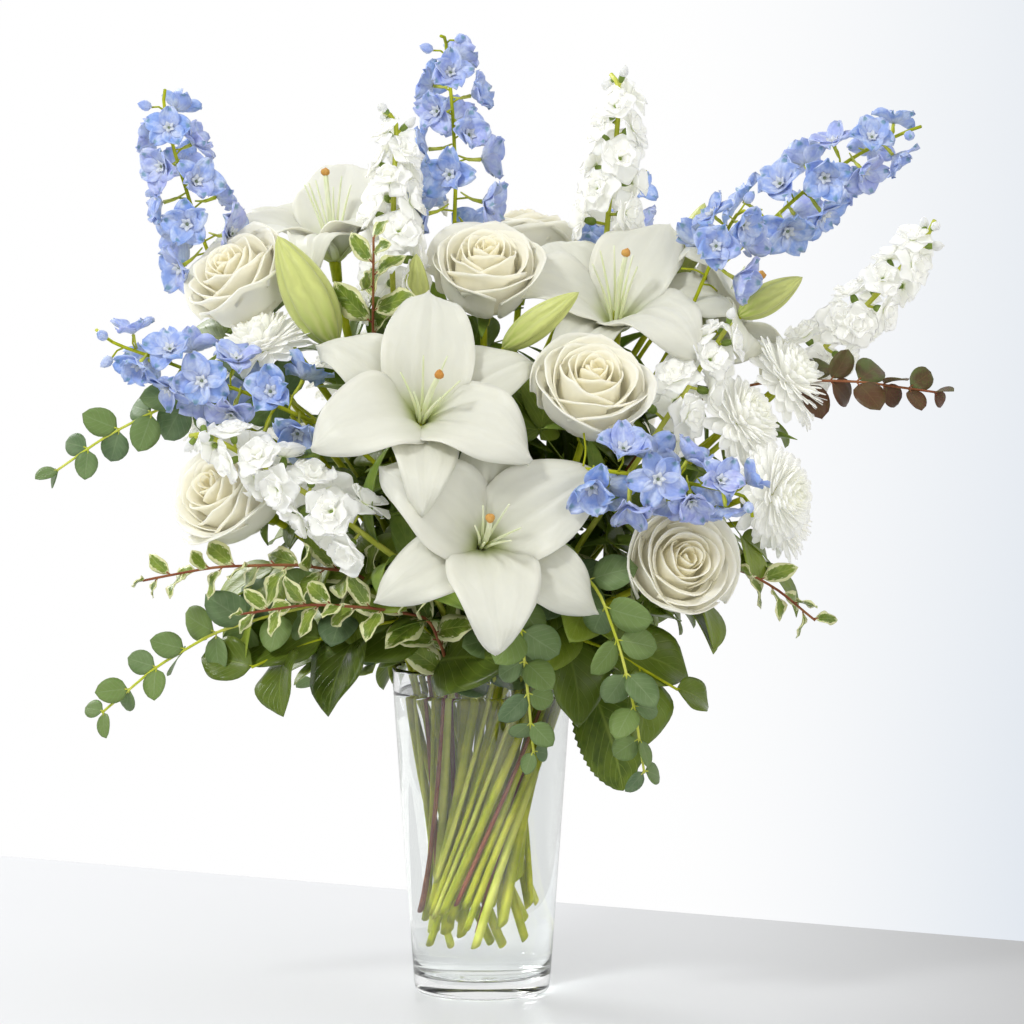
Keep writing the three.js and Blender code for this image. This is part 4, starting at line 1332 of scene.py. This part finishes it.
def lathe(profile, steps=96):
    """A closed solid from a profile of (radius, height) that starts and ends on the axis."""
    shape = bmesh.new()
    corners = [shape.verts.new((radius, 0.0, height)) for radius, height in profile]
    edges = [shape.edges.new(pair) for pair in zip(corners, corners[1:])]
    bmesh.ops.spin(shape, geom=corners + edges, cent=(0, 0, 0), axis=(0, 0, 1), angle=TAU, steps=steps,
                   use_merge=True, use_duplicate=False)
    bmesh.ops.remove_doubles(shape, verts=shape.verts[:], dist=1e-6)
    bmesh.ops.recalc_face_normals(shape, faces=shape.faces[:])
    for face in shape.faces:
        face.smooth = True
    return shape


def glass_radii(height):
    """The vase's inner and outer radius at a height."""
    cut = vase_solid.crossings(Vector((0, 0, height)), UP)
    radii = np.hypot(cut[:, 0], cut[:, 1])
    return float(radii.min()), float(radii.max())


LOW_SLICE, HIGH_SLICE = 0.030, RIM - 0.006
low_in, low_out = glass_radii(LOW_SLICE)
high_in, high_out = glass_radii(HIGH_SLICE)
slope = (high_out - low_out) / (HIGH_SLICE - LOW_SLICE)
slope_in = (high_in - low_in) / (HIGH_SLICE - LOW_SLICE)


def outside(z):
    return low_out + slope * (z - LOW_SLICE)


def inside(z):
    return low_in + slope_in * (z - LOW_SLICE)


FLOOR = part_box("water")[0].z - 0.0004
WATER_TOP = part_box("water")[1].z


def arc(centre, radius, start, end, steps):
    """Points on a quarter or so of a circle, in radius and height."""
    turns = [math.radians(lerp(start, end, i / steps)) for i in range(steps + 1)]
    return [(centre[0] + radius * math.cos(a), centre[1] + radius * math.sin(a)) for a in turns]


floor_in, top_in = inside(FLOOR), inside(WATER_TOP)
lip = (high_out - high_in) / 2
lip_middle = (outside(RIM) + inside(RIM)) / 2
heel = 0.0045
glass_profile = [(0.0, 0.0022), (0.022, 0.0018), (0.036, 0.0006), (0.040, 0.0)]
glass_profile += arc((outside(0) - heel, heel), heel, -85, -5, 8)
glass_profile += [(outside(z), z) for z in np.linspace(heel + 0.003, RIM - lip - 0.001, 9)]
glass_profile += arc((lip_middle, RIM - lip), lip, 15, 165, 8)
glass_profile += [(inside(z), z) for z in np.linspace(RIM - lip - 0.001, FLOOR + 0.009, 9)]
glass_profile += [(floor_in - 0.0035, FLOOR + 0.0035), (floor_in - 0.009, FLOOR + 0.001)]
glass_profile += [(0.020, FLOOR - 0.0003), (0.0, FLOOR - 0.0006)]
finish_piece("glass_vase", lathe(glass_profile), [GLASS], "vase_glass", ["vase"])

SKIN = 0.0003
water_profile = [(0.0, FLOOR - 0.0012), (0.020, FLOOR - 0.0009), (floor_in - 0.009 + SKIN, FLOOR + 0.0004)]
water_profile += [(floor_in - 0.0035 + SKIN, FLOOR + 0.0035 - SKIN)]
water_profile += [(inside(z) + SKIN, z) for z in np.linspace(FLOOR + 0.009, WATER_TOP - 0.002, 9)]
water_profile += [(top_in + SKIN, WATER_TOP + 0.0012), (top_in - 0.0012, WATER_TOP + 0.0002)]
water_profile += [(top_in - 0.004, WATER_TOP), (0.0, WATER_TOP)]
finish_piece("vase_water", lathe(water_profile), [WATER], "water", ["water"])


# ---- Studio ----


def paper_material(name, colour, roughness):
    material, n, shader = new_material(name, roughness, Base_Color=(*colour, 1.0))
    _, axes = n.coordinates("Object")
    # painted shade: the table darkens towards the right, to about half its colour, where less light falls
    painted_shade_to_right = n.ramp(axes["X"], 0.12, 0.48)
    n.wire(n.mix(painted_shade_to_right, colour, tuple(c * 0.56 for c in colour)), shader.inputs["Base Color"])
    mottle = use_group(n, MOTTLE, Scale=3.0, Grain=260.0)
    bumped(n, shader, mottle["Grain"], 0.02, 0.0005)
    return material


table_shape = bmesh.new()
bmesh.ops.create_grid(table_shape, x_segments=1, y_segments=1, size=1.0)
TABLE_SIDE, TABLE_FRONT, BACK_LEFT, BACK_RIGHT = 2.6, -6.0, 1.84, -0.98
table_corners = [(-TABLE_SIDE, BACK_LEFT, 0), (TABLE_SIDE, BACK_RIGHT, 0),
                 (TABLE_SIDE, TABLE_FRONT, 0), (-TABLE_SIDE, TABLE_FRONT, 0)]
table_mesh = bpy.data.meshes.new("table_top")
ordered = sorted(table_shape.verts, key=lambda v: (-(v.co.y > 0), v.co.x if v.co.y > 0 else -v.co.x))
for vert, corner in zip(ordered, table_corners):
    vert.co = corner
bmesh.ops.recalc_face_normals(table_shape, faces=table_shape.faces[:])
table_shape.to_mesh(table_mesh)
table_shape.free()
table_mesh.materials.append(paper_material("white_table", (0.70, 0.71, 0.73), 0.35))
table_top = add_object("table_top", table_mesh)
table_top.location.z = -0.0003


def point_at(thing, place, target):
    thing.location = place
    thing.rotation_euler = (Vector(target) - Vector(place)).to_track_quat("-Z", "Y").to_euler()


MIDDLE = (0, 0, 0.40)


def add_area(name, place, size, power, colour=(1, 1, 1)):
    """A round lamp that shines on the middle of the bouquet."""
    light = bpy.data.lights.new(name, "AREA")
    light.shape = "DISK"
    light.size = size
    light.energy = power
    light.color = colour
    point_at(add_object(name, light), place, MIDDLE)


add_area("key", (-1.5, -1.9, 2.2), 0.5, 40)
add_area("back", (-1.6, 1.7, 1.7), 1.2, 34)
add_area("fill", (1.5, -2.3, 0.8), 1.6, 18, (1.0, 0.985, 0.95))

WHITE = (1.0, 1.0, 1.0)
world = bpy.data.worlds.new("studio")
bpy.context.scene.world = world
world.use_nodes = True
wn = Nodes(world.node_tree)
_, direction = wn.coordinates("Generated")
seen = world.node_tree.nodes["Background"]
to_right = wn.ramp(direction["X"], 0.03, 0.19)
to_floor = wn.ramp(direction["Z"], 0.08, -0.22)
shade = wn.times(to_right, wn.plus(wn.times(to_floor, 0.3), 0.7))
wn.wire(wn.mix(shade, WHITE, (0.63, 0.70, 0.79)), seen.inputs["Color"])
seen.inputs["Strength"].default_value = 1.0
room = wn.add("ShaderNodeBackground")
room.inputs["Strength"].default_value = 0.86
front_dark = wn.ramp(direction["Y"], 0.2, -0.9)
room_shade = wn.mix(front_dark, WHITE, (0.70, 0.69, 0.665))
mirrored = wn.mix(wn.ramp(direction["Y"], 0.55, -0.15), WHITE, (0.16, 0.165, 0.17))
rays = wn.add("ShaderNodeLightPath")
through_glass = wn.mix(wn.ramp(direction["Y"], 0.35, -0.25), WHITE, (0.24, 0.245, 0.25))
lit = wn.mix(rays.outputs["Is Transmission Ray"], room_shade, through_glass)
wn.wire(wn.mix(rays.outputs["Is Glossy Ray"], lit, mirrored), room.inputs["Color"])
either = wn.add("ShaderNodeMixShader")
wn.wire(rays.outputs["Is Camera Ray"], either.inputs["Fac"])
wn.wire(room.outputs[0], either.inputs[1])
wn.wire(seen.outputs[0], either.inputs[2])
wn.wire(either.outputs[0],
        next(node for node in world.node_tree.nodes if node.type == "OUTPUT_WORLD").inputs["Surface"])

CAMERA_PLACE, CAMERA_TARGET = (0.021, -2.8, 0.50), (0.021, 0, 0.337)
SENSOR, LENS = 36.0, 141.0
lens_camera = bpy.data.cameras.new("camera")
camera = add_object("camera", lens_camera)
point_at(camera, CAMERA_PLACE, CAMERA_TARGET)
lens_camera.sensor_width, lens_camera.lens = SENSOR, LENS
bpy.context.scene.camera = camera
bpy.context.scene.view_settings.view_transform = "Standard"
